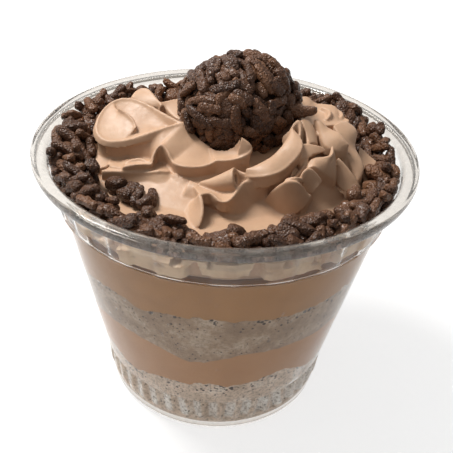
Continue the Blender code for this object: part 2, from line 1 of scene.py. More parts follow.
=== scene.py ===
"""Looks of the cup of brigadeiro cake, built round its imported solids.

Sizes are in millimetres and scaled to metres where a mesh is made. The cup stands on z = 0
with its axis on Z, and the front of the swirl faces -Y.
"""

import math
import random

import bmesh
import bpy
import numpy as np
from mathutils import Matrix, Vector


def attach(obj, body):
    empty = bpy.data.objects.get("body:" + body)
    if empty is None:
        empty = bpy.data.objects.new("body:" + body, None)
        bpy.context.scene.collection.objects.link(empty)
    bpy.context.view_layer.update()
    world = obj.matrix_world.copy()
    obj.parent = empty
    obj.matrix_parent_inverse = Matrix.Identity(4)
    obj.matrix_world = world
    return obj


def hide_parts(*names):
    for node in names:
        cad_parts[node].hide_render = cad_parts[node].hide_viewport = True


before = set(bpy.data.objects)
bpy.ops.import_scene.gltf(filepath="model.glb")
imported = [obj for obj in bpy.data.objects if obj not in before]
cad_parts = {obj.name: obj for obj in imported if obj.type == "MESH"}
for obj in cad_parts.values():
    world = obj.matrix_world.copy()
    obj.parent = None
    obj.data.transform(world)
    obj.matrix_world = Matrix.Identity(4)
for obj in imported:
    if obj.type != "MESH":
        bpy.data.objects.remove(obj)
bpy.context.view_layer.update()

MM = 0.001
SCENE = bpy.context.scene


# ---- camera, light and floor ----
CAMERA_AT = (0.0, -0.1607, 0.1572)  # metres, as are the lamp's place and size
CAMERA_TURN = 0.5  # degrees to the right of straight ahead
CAMERA_DOWN = 34.25  # degrees below level
CAMERA_ROLL = 3.7  # degrees, its right side up
SENSOR = 36.0  # millimetres, as is the lens
LENS = 55.6
KEY_AT = (-0.26, 0.12, 0.50)
KEY_TARGET = (0, 0, 0.05)
KEY_SIZE = 0.2
KEY_POWER = 3.9
KEY_COLOUR = (1.0, 0.985, 0.96)
BRIGHT_SIDE = (-0.62, 0.42, 0.66)
BRIGHTNESS = (-0.7, 0.9, 0.10, 0.60)  # facing away from the bright side and facing it, dim and bright


def add_camera():
    data = bpy.data.cameras.new("camera")
    data.sensor_width = SENSOR
    data.lens = LENS
    data.clip_start = 0.01
    camera = bpy.data.objects.new("camera", data)
    SCENE.collection.objects.link(camera)
    turn = Matrix.Translation(CAMERA_AT)
    for angle, axis in ((-CAMERA_TURN, "Z"), (90 - CAMERA_DOWN, "X"), (CAMERA_ROLL, "Z")):
        turn @= Matrix.Rotation(math.radians(angle), 4, axis)
    camera.matrix_world = turn
    SCENE.camera = camera


def map_range(tree, source, *limits):
    """Maps a value from one range to another: from low, from high, to low, to high."""
    node = tree.nodes.new("ShaderNodeMapRange")
    for socket, value in zip(("From Min", "From Max", "To Min", "To Max"), limits):
        node.inputs[socket].default_value = value
    tree.links.new(source, node.inputs["Value"])
    return node.outputs["Result"]


def add_key():
    """One soft lamp, high at the back left."""
    data = bpy.data.lights.new("key", "AREA")
    data.shape = "DISK"
    data.size = KEY_SIZE
    data.energy = KEY_POWER
    data.color = KEY_COLOUR
    lamp = bpy.data.objects.new("key", data)
    lamp.location = KEY_AT
    lamp.rotation_euler = (Vector(KEY_TARGET) - Vector(KEY_AT)).to_track_quat("-Z", "Y").to_euler()
    SCENE.collection.objects.link(lamp)


def add_studio():
    """White surroundings, bright at the back left and above, dim at the front right and below."""
    world = bpy.data.worlds.new("studio")
    world.use_nodes = True
    tree = world.node_tree
    where = tree.nodes.new("ShaderNodeTexCoord")
    facing = tree.nodes.new("ShaderNodeVectorMath")
    facing.operation = "DOT_PRODUCT"
    facing.inputs[1].default_value = BRIGHT_SIDE
    tree.links.new(where.outputs["Generated"], facing.inputs[0])
    background = tree.nodes["Background"]
    tree.links.new(map_range(tree, facing.outputs["Value"], *BRIGHTNESS), background.inputs["Strength"])
    background.inputs["Color"].default_value = (1, 1, 1, 1)
    SCENE.world = world
    SCENE.view_settings.view_transform = "Standard"


# ---- mesh helpers ----
def mesh_object(name, verts, faces, material=None, smooth=True, flat_above=None):
    """A mesh object from points in millimetres."""
    mesh = bpy.data.meshes.new(name)
    mesh.from_pydata((np.asarray(verts, float) * MM).tolist(), [], faces)
    mesh.update()
    if smooth:
        mesh.shade_smooth()
        if flat_above:
            mesh.set_sharp_from_angle(angle=math.radians(flat_above))
    obj = bpy.data.objects.new(name, mesh)
    SCENE.collection.objects.link(obj)
    if material:
        mesh.materials.append(material)
    return obj


def polar(radius, angle, height):
    """Points from a radius, an angle and a height, each a number or a grid."""
    columns = radius * np.cos(angle), radius * np.sin(angle), height
    return np.stack(np.broadcast_arrays(*columns), axis=-1)


def loft(grid):
    """A closed skin over a grid of rings (stations x points round x 3)."""
    stations, around = grid.shape[:2]
    j = np.arange(around)
    k = (j + 1) % around
    faces = []
    for i in range(stations - 1):
        low, high = i * around, (i + 1) * around
        faces += np.stack([low + j, low + k, high + k, high + j], axis=1).tolist()
    faces += [j[::-1].tolist(), (j + (stations - 1) * around).tolist()]
    return grid.reshape(-1, 3), faces


def apply_modifiers(obj):
    """Replaces the object's mesh by what its modifiers make of it."""
    graph = bpy.context.evaluated_depsgraph_get()
    mesh = bpy.data.meshes.new_from_object(obj.evaluated_get(graph))
    obj.modifiers.clear()
    obj.data = mesh


def read_vectors(obj, name):
    flat = np.empty(len(obj.data.vertices) * 3)
    obj.data.vertices.foreach_get(name, flat)
    return flat.reshape(-1, 3)


def points_of(obj):
    """The object's points in millimetres."""
    return read_vectors(obj, "co") / MM


def set_points(obj, points):
    obj.data.vertices.foreach_set("co", (points * MM).ravel())
    obj.data.update()


def swollen(obj, relief):
    """The object's points in millimetres, moved out along its normals."""
    return points_of(obj) + read_vectors(obj, "normal") * relief[:, None]


def set_number(obj, name, values):
    """Keeps one number a point on the mesh, for its material."""
    layer = obj.data.attributes.new(name, "FLOAT", "POINT")
    layer.data.foreach_set("value", np.asarray(values, float))


LATTICE = 32  # cells after which the noise repeats
NOISE_START = 1000  # keeps the cells' numbers above zero


def cloud(points, cell, seed):
    """Smooth noise from -1 to 1, with bumps about one cell across."""
    table = np.random.RandomState(seed).uniform(-1, 1, (LATTICE,) * 3)
    at = np.asarray(points, float) / cell + NOISE_START
    low = np.floor(at).astype(int)
    part = at - low
    part = part * part * (3 - 2 * part)
    total = np.zeros(part.shape[:-1])
    for corner in np.ndindex(2, 2, 2):
        weight = np.ones(part.shape[:-1])
        cells = []
        for n in range(3):
            weight = weight * (part[..., n] if corner[n] else 1 - part[..., n])
            cells.append((low[..., n] + corner[n]) % LATTICE)
        total += weight * table[tuple(cells)]
    return total


def smooth_step(values, low, high):
    part = np.clip((values - low) / (high - low), 0, 1)
    return part * part * (3 - 2 * part)


# ---- material helpers ----
def srgb(red, green, blue):
    """A colour as seen on a screen, from 0 to 255, as the shader wants it."""
    out = []
    for value in (red, green, blue):
        part = value / 255
        out.append(part / 12.92 if part <= 0.04045 else ((part + 0.055) / 1.055) ** 2.4)
    return (*out, 1.0)


class Finish:
    """A node material with short calls for its usual nodes."""

    def __init__(self, name):
        self.material = bpy.data.materials.new(name)
        self.material.use_nodes = True
        self.tree = self.material.node_tree
        self.shader = self.tree.nodes["Principled BSDF"]
        self.where = self.tree.nodes.new("ShaderNodeTexCoord").outputs["Object"]

    def fill(self, sockets, values):
        """Links each named socket to another node's output, or sets it to a constant."""
        for name, value in values.items():
            socket = sockets[name.replace("_", " ")]
            if isinstance(value, bpy.types.NodeSocket):
                self.tree.links.new(value, socket)
            else:
                socket.default_value = value

    def set(self, **values):
        self.fill(self.shader.inputs, values)

    def node(self, kind, **values):
        node = self.tree.nodes.new("ShaderNode" + kind)
        self.fill(node.inputs, values)
        return node

    def noise(self, size, detail=3.0, rough=0.5):
        """Noise with features about size millimetres across."""
        scale = 1 / (size * MM)
        node = self.node("TexNoise", Vector=self.where, Scale=scale, Detail=detail, Roughness=rough)
        return node.outputs["Fac"]

    def cells(self, size):
        """Distance from the nearest of points about size millimetres apart."""
        return self.node("TexVoronoi", Vector=self.where, Scale=1 / (size * MM)).outputs["Distance"]

    def number(self, name):
        """A number that set_number kept on the mesh."""
        node = self.node("Attribute")
        node.attribute_name = name
        return node.outputs["Fac"]

    def ramp(self, source, *stops):
        """Colours or greys along a value: (position, colour or grey) pairs."""
        node = self.node("ValToRGB", Fac=source)
        elements = node.color_ramp.elements
        while len(elements) < len(stops):
            elements.new(0.5)
        for element, (position, colour) in zip(elements, stops):
            element.position = position
            element.color = colour if isinstance(colour, tuple) else (colour, colour, colour, 1)
        return node.outputs["Color"]

    def span(self, source, *limits):
        return map_range(self.tree, source, *limits)

    def math(self, operation, first, second):
        node = self.node("Math")
        node.operation = operation
        self.fill({"first": node.inputs[0], "second": node.inputs[1]}, {"first": first, "second": second})
        return node.outputs["Value"]

    def mix(self, share, first, second):
        node = self.node("Mix")
        node.data_type = "RGBA"
        live = {socket.name: socket for socket in node.inputs if socket.enabled}
        self.fill(live, {"Factor": share, "A": first, "B": second})
        return [socket for socket in node.outputs if socket.enabled][0]

    def bump(self, *layers):
        """Relief from (height source, depth in millimetres) pairs."""
        below = {}
        for source, depth in layers:
            node = self.node("Bump", Strength=1.0, Distance=depth * MM, Height=source, **below)
            below = {"Normal": node.outputs["Normal"]}
        self.set(**below)


# ---- cup ----
COLUMNS = 440  # 20 to a lug, 10 to a flute
LUGS = 22
LUG = 0.5  # how far a stacking lug steps inwards
FLUTES = 44
LUG_SLOPE = 0.35  # how much of its wave its sloping sides take
FLUTE = 0.35  # half the depth of a flute
FLUTE_SQUARE = 2.2  # how square its wave is

# corners of the wall as radius, height and the size of the round there:
# outside from the base's middle up and over the rim, then inside from the rim down to the floor
OUTSIDE_CORNERS = (
    (23.8, 3.0, 0), (26.6, 2.9, 0.9), (27.2, 0, 0.8), (31.0, 0, 1.6), (31.8, 5.4, 0.6), (32.3, 12.3, 0.6),
    (32.8, 13.3, 0.5), (42.4, 60.8, 0.4), (43.4, 61.0, 0.3), (45.1, 70.5, 1.0), (45.6, 73.3, 1.4),
    (47.9, 73.3, 0.7), (48.5, 71.8, 0.4), (49.0, 73.4, 0.5), (48.7, 74.5, 0.5), (47.4, 74.5, 0.6),
    (45.3, 73.6, 0.9), (44.8, 71.4, 0))
INSIDE_CORNERS = (
    (44.6, 70.4, 0), (43.0, 61.6, 0.4), (41.9, 61.3, 0.4), (41.7, 60.0, 0.5), (32.4, 13.8, 0.5),
    (31.8, 12.2, 0.5), (31.4, 5.5, 0.4), (30.8, 3.5, 1.0), (23.8, 3.5, 0))
ROUND_STEPS = 5  # points along each round
ROUND_SHARE = 0.45  # most of a straight that a round may take


def rounded(corners, every=1.6):
    """The corners joined by straights, divided evenly, and by rounds."""
    line = []
    for i, (radius, height, size) in enumerate(corners):
        here = np.array((radius, height))
        if size:
            back = np.array(corners[i - 1][:2]) - here
            ahead = np.array(corners[i + 1][:2]) - here
            enter, leave = (here + way / np.linalg.norm(way) * min(size, ROUND_SHARE * np.linalg.norm(way))
                            for way in (back, ahead))
            part = np.linspace(0, 1, ROUND_STEPS)[:, None]
            bend = (1 - part) ** 2 * enter + 2 * part * (1 - part) * here + part ** 2 * leave
        else:
            bend = here[None]
        if line:
            steps = math.ceil(math.dist(line[-1], bend[0]) / every)
            line += [line[-1] + (bend[0] - line[-1]) * k / steps for k in range(1, steps)]
        line += list(bend)
    return np.array(line)


OUTSIDE = rounded(OUTSIDE_CORNERS)
INSIDE = rounded(INSIDE_CORNERS)
NECK = (61.3, 70.9)  # heights between which the lugs stand
FLUTE_BAND = (5.5, 12.6)
FLOOR_R = 30.5  # the wall starts outside this radius
MEAN_R = 40  # where noise is taken for a whole turn of the wall
WANDER = 0.05  # how far the thin wall is out of true


def in_band(height, band, low_ease, high_ease):
    """1 within a band of heights, easing to 0 at its lower and upper edge."""
    low, high = band
    return smooth_step(height, low, low + low_ease) * (1 - smooth_step(height, high - high_ease, high))


def ripples(angle, height):
    """How far lugs and flutes move the wall in or out."""
    flute = np.tanh(-FLUTE_SQUARE * np.cos(FLUTES * angle)) / math.tanh(FLUTE_SQUARE)
    lug = smooth_step(np.cos(LUGS * angle - math.pi / 4), -LUG_SLOPE, LUG_SLOPE)
    flutes = FLUTE * flute * in_band(height, FLUTE_BAND, 0.8, 0.8)
    return flutes - LUG * lug * in_band(height, NECK, 0.7, 1.2)


def wall_inside(angle, height):
    """Radius of the wall's inside."""
    side = INSIDE[::-1][INSIDE[::-1, 0] > FLOOR_R]
    return np.interp(height, side[:, 1], side[:, 0]) + ripples(angle, height)


def make_cup(finish):
    profile = np.vstack([OUTSIDE, INSIDE])
    angle = np.linspace(0, 2 * math.pi, COLUMNS, endpoint=False)[None, :]
    radius, height = profile[:, :1], profile[:, 1:]
    reach = radius + ripples(angle, height) * (height < 72)
    wander = WANDER * cloud(polar(MEAN_R, angle, height), 9.0, 3)
    reach = reach + wander * smooth_step(height, 4, 8) * (height < 71)
    cup = mesh_object("cup_clear", *loft(polar(reach, angle, height)), finish, flat_above=60)
    up = points_of(cup)[:, 2]
    set_number(cup, "haze", smooth_step(up, 71.0, 72.8) + 0.8 * (1 - smooth_step(up, 2.6, 3.6)))
    return cup


# ---- layers ----
# height of each layer's top edge at the wall, how rough it is, and its bumps as (height, angle,
# width in degrees)
EDGES = {
    "cake_bottom": (20.4, 0.45, ((-3.0, -129, 9), (1.4, -92, 7), (3.2, -61, 12), (-2.2, -36, 10),
                                 (1.6, 120, 30))),
    "cream_lower": (34.8, 0.25, ((-4.0, -98, 13), (-2.2, -150, 8), (-1.6, 40, 25), (-2.4, 150, 20))),
    "cake_middle": (47.8, 0.45, ((-1.4, -117, 5), (0.9, -94, 10), (-3.2, -150, 8), (0.8, -44, 9),
                                 (-1.5, 90, 30))),
}
LAYER_TOP = 60.75
LAYER_FOOT = 3.45
PRESS = 0.06  # how far the contents reach into the wall, so that no air shows
LAYER_COLUMNS = 640
LAYER_CORE_R = 24.0  # its hidden ends are plain inside this radius


def edge_line(name, degrees):
    """Height of a layer's top edge, with the small steps of its crumb."""
    height, rough, bumps = EDGES[name]
    line = np.full(np.shape(degrees), height)
    for rise, middle, width in bumps:
        away = (degrees - middle + 180) % 360 - 180
        line = line + rise * np.exp(-(away / width) ** 2)
    spots = polar(MEAN_R, np.radians(degrees), 0)
    return line + rough * (cloud(spots, 2.2, 7) + 0.6 * cloud(spots, 0.9, 8))


def make_layer(name, below, finish, recess, rows):
    """One layer: its wall side in full detail, closed by plain faces where nothing shows."""
    degrees = np.linspace(0, 360, LAYER_COLUMNS, endpoint=False)
    bottom = edge_line(below, degrees) if below else np.full(LAYER_COLUMNS, LAYER_FOOT)
    top = edge_line(name, degrees) if name in EDGES else np.full(LAYER_COLUMNS, LAYER_TOP)
    turn = np.radians(degrees)[None, :]
    height = bottom + (top - bottom) * np.linspace(0, 1, rows)[:, None]
    radius = wall_inside(turn, height) + PRESS
    spots = polar(radius, turn, height)
    ring = polar(radius - recess(spots, top - height), turn, height)
    ends = []
    for row in (ring[0], ring[-1]):
        end = row.copy()
        end[:, :2] *= LAYER_CORE_R / np.hypot(row[:, 0], row[:, 1])[:, None]
        end[:, 2] = row[:, 2].mean() * 0.4 + row[:, 2] * 0.6
        ends.append(end[None])
    skin = loft(np.concatenate([ends[0], ring, ends[1]]))
    layer = mesh_object(name + "_fill", *skin, finish, flat_above=70)
    # painted highlight: 1 on the stripes along the flutes, where the crumb is painted near white for the
    # light that the fluted plastic catches
    flute_light = in_band(height, FLUTE_BAND, 1, 0.8) * smooth_step(
        np.sin(FLUTES * turn + 1.5 * cloud(spots, 6.0, 9)), -0.4, 0.2)
    none = np.zeros((1, LAYER_COLUMNS))
    for number, values in (("under_edge", top - height), ("flute_light", flute_light)):
        set_number(layer, number, np.concatenate([none, values, none]).ravel())
    return layer


def cake_recess(spots, under):
    """Pores and hollows where the crumb stands off the wall."""
    fine = cloud(spots, 0.75, 21) + 0.5 * cloud(spots, 0.4, 22)
    crowd = 0.62 * np.exp(-under / 2.2) + 0.12 + 0.12 * cloud(spots, 5.0, 23)
    pores = smooth_step(fine, 1.12 - crowd, 1.42 - crowd)
    return 0.75 * pores + 0.02


def cream_recess(spots, under):
    """A few trapped bubbles."""
    fine = cloud(spots, 1.1, 31)
    return 0.5 * smooth_step(fine, 0.90, 0.98)


# ---- piped cream: sizes and lines ----
SWIRL_C = (0.0, 6.0)  # middle, radius and rise of the mound that carries the folds
SWIRL_R = 29.5
SWIRL_RISE = 9.5
SWIRL_WIDER = 1.12  # from side to side
SWELL = (2.0, 17, -3, 8, 9)  # on its right: height, the middle's x and y, width along x and y
STAND_OFF = 2.1  # from the neck's wall, where the cream is not pressed on it
SKIRT_Z = 66.4  # height of the plain skirt round it
CREAM_Z = 60.8  # underside of all the piped cream
NECK_R = 44  # where noise is taken round the neck
VOXEL = 0.27
SWIRL_REACH = 37.5  # where the modelled swirl dips under the plain skirt
OVER_SKIRT = 0.05  # how far it lies above the skirt up to there
TRIANGLES = 190000  # most that the swirl may have

# the folds are arcs round the brigadeiro's axis: start and end, as degrees round the axis, distance
# from it and height, then how far the middle bulges in each of the three, unless it is straight,
# then how many ruffles there are, how far out and how far up
AXIS = (2.5, 7.0)
ARCS = {
    # the big lobe on the left: its nose under the tip, its belly and the hood behind it
    "flap_edge": ((-162, 27, 77), (-176, 31, 79.5), (0, -1.5, 0)),
    "core_out": ((-171, 31, 72.5), (-187, 33, 75.5)),
    "core_in": ((-167, 26, 75), (-185, 32, 76.5)),
    "ball_edge": ((-153, 15, 78), (-101, 17.5, 74.5), (2, -4, -1.5)),
    "belly_edge": ((-160, 35, 73.5), (-147, 25, 70.5), (-4, 0, -1)),
    "hood": ((169, 29, 79), (175, 20, 79), (-11, 2, 1.5)),
    "hood_foot": ((170, 29, 79), (175, 20, 78)),
    "flank_top": ((172, 21, 79.5), (158, 15, 80)),
    "flank_low": ((175, 19, 78), (199, 13, 77)),
    # the frill between the lobe and the front, with its hairpin and the curl at its end
    "inner_left": ((-147, 33, 71), (-140, 27, 72), (0, 0, 0.5)),
    "hairpin": ((-140, 27, 72), (-132, 23, 73), (-8, -2, 3)),
    "inner_front": ((-132, 23, 73), (-104, 19.5, 75), (0, 1.5, -0.5), (1, 0.4, 0.3)),
    "inner_curl": ((-104, 19.5, 75), (-87, 17.5, 81), (15, 1, 0)),
    "curl_ball": ((-120, 13.5, 75), (-87, 15, 80), (5, 0.5, -1.5)),
    "soft_ridge": ((-149, 32, 71), (-142, 27, 72), (-3, -1, 0.5)),
    # the step below it, and the slope down to the sprinkles
    "left_ridge": ((-165, 32, 70.5), (-155, 35, 69.5)),
    "left_out": ((-171, 36, 70.5), (-158, 38.5, 68)),
    "left_front": ((-153, 35, 70), (-148, 33, 70.5)),
    "under_belly": ((-171, 33, 70), (-151, 25, 71)),
    "ledge_in": ((-154, 35, 69.5), (-142, 23, 70.5)),
    "ledge": ((-153, 37, 69), (-132, 24, 70.5), (1, -1, 0.5), (1.5, 0.5, 0.3)),
    "inner_foot": ((-132, 24, 70.5), (-114, 22.5, 70), (0, 0.5, 0)),
    "slope_foot": ((-152, 38, 65), (-111, 33, 65.5), (-2, -4, 0)),
    "slope_right": ((-111, 33, 66), (-108, 27, 69), (2, 0, 0.5)),
    "block_top": ((-117, 24, 70.5), (-111, 24, 70.5)),
    "block_low": ((-116, 28, 68), (-110, 28, 67.5)),
    # the frill across the front
    "terrace_in": ((-116, 24, 70), (-80, 23.5, 73), (0, -0.5, -1)),
    "front_tip": ((-102, 37, 67), (-105, 30.5, 71.5), (1.5, 0, 0.5)),
    "front_hump": ((-105, 30.5, 71.5), (-82, 25, 73.5), (0, 1.7, -1.2), (1.5, -1.5, 0.4)),
    "front_right": ((-82, 25, 73.5), (-73, 25.5, 75)),
    "foot_tip": ((-106, 36, 65), (-109, 29, 67)),
    "foot_run": ((-109, 28, 67), (-70, 24.5, 67), (0, 1.5, 0), (1.5, -1, 0)),
    "tube_link": ((-90, 21, 74), (-80, 24, 74)),
    # the crown in front of the brigadeiro
    "crown_lip": ((-84, 24, 74), (-43, 18, 81.5), (4, 5.5, 0), (1.5, 0.9, 0.4)),
    "crown_in": ((-84, 23, 75.5), (-44, 18, 81.5), (-4, 1.5, -0.5)),
    "crown_foot": ((-81, 20.5, 68), (-48, 17.5, 79.5), (4, 4, -5)),
    "crown_rim": ((-43, 18, 81.5), (-44, 21, 80), (8, -1, 2)),
    # the fan on the right: two small curls, then the tall folds up to the slab at the back
    "h_lip": ((-73, 26, 68.5), (-58, 32, 72.5), (-1, 2, 5.5)),
    "h_low": ((-72, 25, 67.5), (-57, 32.5, 72.5), (1, 2.5, -3)),
    "h_ridge": ((-67, 29.5, 75.5), (-59, 31, 75.5), (0, 0.5, 1)),
    "i_top": ((-60, 30, 75), (-50, 32, 74), (0, -1, 3)),
    "i_low": ((-57, 29.5, 73), (-52, 32, 73.5), (0, 0, -2)),
    "j_top": ((-52, 28, 76), (-34, 28, 79), (0, 0, 0), (1, -1.2, 0.3)),
    "j_drop": ((-34, 28, 79), (-40, 31.5, 72), (1, 0, 0.5)),
    "j_low": ((-48, 29.5, 76), (-40, 31.5, 72), (0, 0, 0.3)),
    "n_ridge": ((-32, 29.5, 76), (-32, 36.5, 70), (0, 0, 0.7)),
    "n_low": ((-32, 29, 73), (-32, 36.5, 69.5), (-3, 0, -1.8)),
    "l_out": ((-2, 28, 79), (-29, 35, 70), (0, 1, 1.3), (1.5, 0.9, 0.3)),
    "l_in": ((-14, 25, 80), (-28, 34, 70.5), (-2, 0, 1)),
    "k_top": ((-18, 20, 81), (-24, 30.5, 78), (1.5, -1, 1.3), (1.5, 0, 0.5)),
    "k_low": ((-21, 21, 80), (-25, 30.5, 77), (-8, 0, -0.8)),
    "m_out": ((-7, 32.5, 73.5), (-12, 37.5, 71.5)),
    "m_in": ((-15, 32.5, 72.5), (-25, 36.5, 68.5)),
    "o_top": ((-56, 30, 70.5), (-34, 33.5, 67.5), (2, -1.5, 2.5)),
    "o_low": ((-59, 31, 66.5), (-37, 33.5, 67), (-1, 2.5, -1)),
    "o_tip": ((-54, 30.5, 72), (-61, 32, 67.5)),
    "r_top": ((-47, 21.5, 79), (-35, 26, 78), (0, 0, 0.5)),
    "r_low": ((-51, 24, 77), (-34, 26, 77.5)),
    "r_back": ((-52, 24.5, 77), (-58, 27, 74), (8, -0.5, 1.5)),
    "s_top": ((-29, 17.5, 82), (-33, 24, 78), (9, -1, 1)),
    "s_low": ((-34, 20, 81), (-42, 23, 79)),
    "valley_top": ((-27, 27, 76.5), (-23, 31, 76)),
    "valley_low": ((-29, 28.5, 73), (-27, 32.5, 71)),
    "q_top": ((30, 18.5, 80.5), (5, 30, 78), (3, 1, 0), (2, 0.6, 0.4)),
    "q_low": ((-16, 16, 79.5), (2, 29, 78), (-2, 0.5, 0)),
    "curl_a": ((14, 23, 79.5), (-2, 23, 79), (1, 1.5, 0.4)),
    "curl_b": ((17, 26, 78.5), (6, 27.5, 78), (0, 1.5, 0.2)),
    # the ruffles behind, which the brigadeiro hides
    "back_wave": ((30, 24.5, 73.5), (148, 28, 73), (0, -9.5, 1), (5, -1.2, 0.5)),
    "back_in": ((27, 18, 79), (155, 19, 78), (0, -1.5, 0)),
    "back_low": ((21, 27, 69), (161, 31, 70), (0, -10, 0), (5, 0.6, 0.3)),
}
LOBE = ((-153, 15, 78.5), (-174, 36, 77))  # where the big lobe starts, and its tip
LOBE_HALF = 7.4  # half its width
LOBE_TILT = 2.6  # how far its front edge lies below its middle
TEARDROP_PEAK = 0.65  # greatest width of the formula's teardrop


def round_axis(line):
    """Points in the cup's frame from degrees, distance and height round the brigadeiro's axis."""
    return polar(line[:, 1], np.radians(line[:, 0]), line[:, 2]) + (*AXIS, 0)


def arc(start, end, bulge=(0, 0, 0), ruffles=(0, 0, 0)):
    """A fold's line."""
    waves, out, up = ruffles
    part = np.linspace(0, 1, 9 + round(6 * waves))[:, None]
    line = (1 - part) * start + part * end + 4 * part * (1 - part) * bulge
    return round_axis(line + np.sin(2 * math.pi * waves * part) * (0, out, up))


def lobe_edge(first, last):
    """A stretch of the lobe's edge, a teardrop: 0 at its start, the front side, 0.5 at its tip, 1 back."""
    share = np.linspace(first, last, 12)
    start, tip = round_axis(np.array(LOBE, float))
    along = (1 - np.cos(2 * math.pi * share)) / 2
    across = np.sin(2 * math.pi * share) * np.sin(math.pi * share) ** 2 / TEARDROP_PEAK
    run = tip - start
    side = np.array((-run[1], run[0], 0)) / np.hypot(run[0], run[1]) * LOBE_HALF
    return start + along[:, None] * run + across[:, None] * (side - (0, 0, LOBE_TILT))


LINES = {name: arc(*shape) for name, shape in ARCS.items()}
LINES.update(lobe_front=lobe_edge(0, 0.5), lobe_back=lobe_edge(1, 0.5), lobe_nose=lobe_edge(0.30, 0.60),
             lobe_lip=lobe_edge(0.36, 0))
# faces stretched between two runs of lines: how far the middle sags, and the thickness of a free
# leaf, where the cream below is not solid
FACES = (
    ("lobe_front", "lobe_back", 1.3),
    ("lobe_nose", "flap_edge", 0.5, 2.4),
    ("hood", "hood_foot", -0.4),
    ("flank_top", "flank_low", 0.2),
    ("core_out", "core_in", 0.0),
    ("lobe_lip ball_edge", "belly_edge hairpin inner_front", 0.3, 2.4),
    ("inner_curl", "curl_ball", 0.6),
    ("left_out", "left_ridge", 0.2),
    ("under_belly", "left_front inner_left", 0.2),
    ("ledge_in", "ledge", 0.1),
    ("ledge inner_foot", "slope_foot slope_right", 0.8),
    ("block_top", "block_low", -0.7, 2.0),
    ("terrace_in", "front_hump", 0.2, 3.0),
    ("crown_lip", "crown_in", -0.6, 3.5),
    ("valley_low", "valley_top", 0.3),
    ("j_low", "j_top j_drop", -0.7),
    ("l_out", "l_in", -0.5),
    ("k_top", "k_low", -0.8, 2.8),
    ("m_out", "m_in", -0.3),
    ("o_top", "o_low", 0.9),
    ("back_wave", "back_in", 0.5),
    ("back_low", "back_wave", 0.5),
    ("s_top", "s_low", -0.5),
    ("q_top", "q_low", 0.4),
)
# thin standing crests along runs of lines: depth, width at the foot, lean to the right of the run,
# and a run of lines for the foot where it does not follow the crest
CRESTS = (
    ("lobe_front", 1.6, 1.6, -0.4),
    ("lobe_back", 2.5, 2.0, -0.6),
    ("hood", 2.5, 2.0, 0.0),
    ("left_ridge", 1.5, 1.4, 0.0),
    ("soft_ridge", 1.2, 1.6, 0.0),
    ("inner_left hairpin inner_front inner_curl", 5.0, 1.5, -1.3),
    ("ledge", 2.0, 1.8, -0.4),
    ("front_tip front_hump front_right", 0, 2.4, 0, "foot_tip foot_run"),
    ("tube_link", 3.0, 1.6, 0.0),
    ("crown_lip", 0, 2.4, 0, "crown_foot"),
    ("crown_rim", 3.5, 1.4, 0.0),
    ("h_lip", 0, 2.2, 0, "h_low"),
    ("h_ridge", 0.9, 1.0, 0.0),
    ("flap_edge", 0.7, 0.9, 0.0),
    ("i_top", 0, 2.2, 0, "i_low"),
    ("j_top j_drop", 2.0, 1.6, 0),
    ("n_ridge", 0, 2.4, 0, "n_low"),
    ("r_top", 0, 2.0, 0, "r_low"),
    ("o_tip", 2.4, 2.4, 0.0),
    ("r_back", 3.0, 1.8, 0.0),
    ("curl_a", 1.6, 2.2, 0.0),
    ("curl_b", 1.4, 2.2, 0.0),
    ("back_wave", 4.0, 2.4, 0.0),
    ("back_low", 4.0, 2.4, 0.0),
)
# the rolled end of the inner ribbon, from its tip to its mouth, and its half width there
TUBE = ((-110, 24, 70.5), (-89, 24.5, 73.5), (0, 0, -0.5))
TUBE_HALF = 2.8
TUBE_HOLE = 0.45  # the hole in its mouth, as a share of its width
BASE_Z = 64.0  # down to where a face's body reaches
CREST_WIDTH = 0.8
CREST_STEP = 0.35  # between a crest's stations
FOOT_EASE = 1.5  # reach over which a crest's foot is straighter than the crest
FACE_STEP = 0.4
FACE_ROWS = 14
SAME_POINT = 0.8  # lines that meet closer than this share a point


def patches():
    """Where the cream touches the neck's wall: from and to in degrees, and its lower edge."""
    rng = random.Random(17)
    rows, at = [], -165.0
    while at < 165:
        width = rng.uniform(6, 32)
        rows.append((at, at + width, rng.uniform(61.8, 64.6)))
        at += width + rng.uniform(2, 6)
    return rows


PATCHES = patches()
# the ring of sprinkles: degrees, its inner radius, and its height at the wall
RING = ((-180, 34, 73), (-150, 35.5, 71.5), (-120, 36, 70), (-80, 35.5, 70), (-60, 33, 70.5),
        (-30, 36.5, 72), (0, 38.5, 72), (35, 36, 73), (90, 34, 72), (135, 37, 72), (180, 34, 73))


def ring_at(angle, column):
    """A value of the ring at an angle: 1 for its inner radius, 2 for its height at the wall."""
    degrees = (np.degrees(angle) + 180) % 360 - 180
    return np.interp(degrees, [row[0] for row in RING], [row[column] for row in RING])


def heap_height(x, y):
    """How far the cream under the sprinkles rises towards the wall."""
    angle = np.arctan2(y, x)
    depth = 0.35 * (ring_at(angle, 2) - SKIRT_Z)
    rise = np.clip((np.hypot(x, y) - ring_at(angle, 1)) / 6.0, 0, 1)
    return depth * rise * rise * (3 - 2 * rise)


def cream_height(x, y):
    """Height of the bare mound, its skirt and the heap at the wall."""
    reach = np.hypot((x - SWIRL_C[0]) / SWIRL_WIDER, y - SWIRL_C[1])
    cone = SWIRL_RISE * (1 - np.clip(reach / SWIRL_R, 0, 1) ** 1.3)
    rise, at_x, at_y, wide, deep = SWELL
    swell = rise * np.exp(-((x - at_x) / wide) ** 2 - ((y - at_y) / deep) ** 2)
    return SKIRT_Z + cone + swell + heap_height(x, y)


def cream_top(radii, angles):
    """The mound's top over a polar grid, from all but its middle."""
    far, turn = np.meshgrid([0.05, *radii], angles, indexing="ij")
    flat = polar(far, turn, 0)
    flat[..., 2] = cream_height(flat[..., 0], flat[..., 1])
    return flat


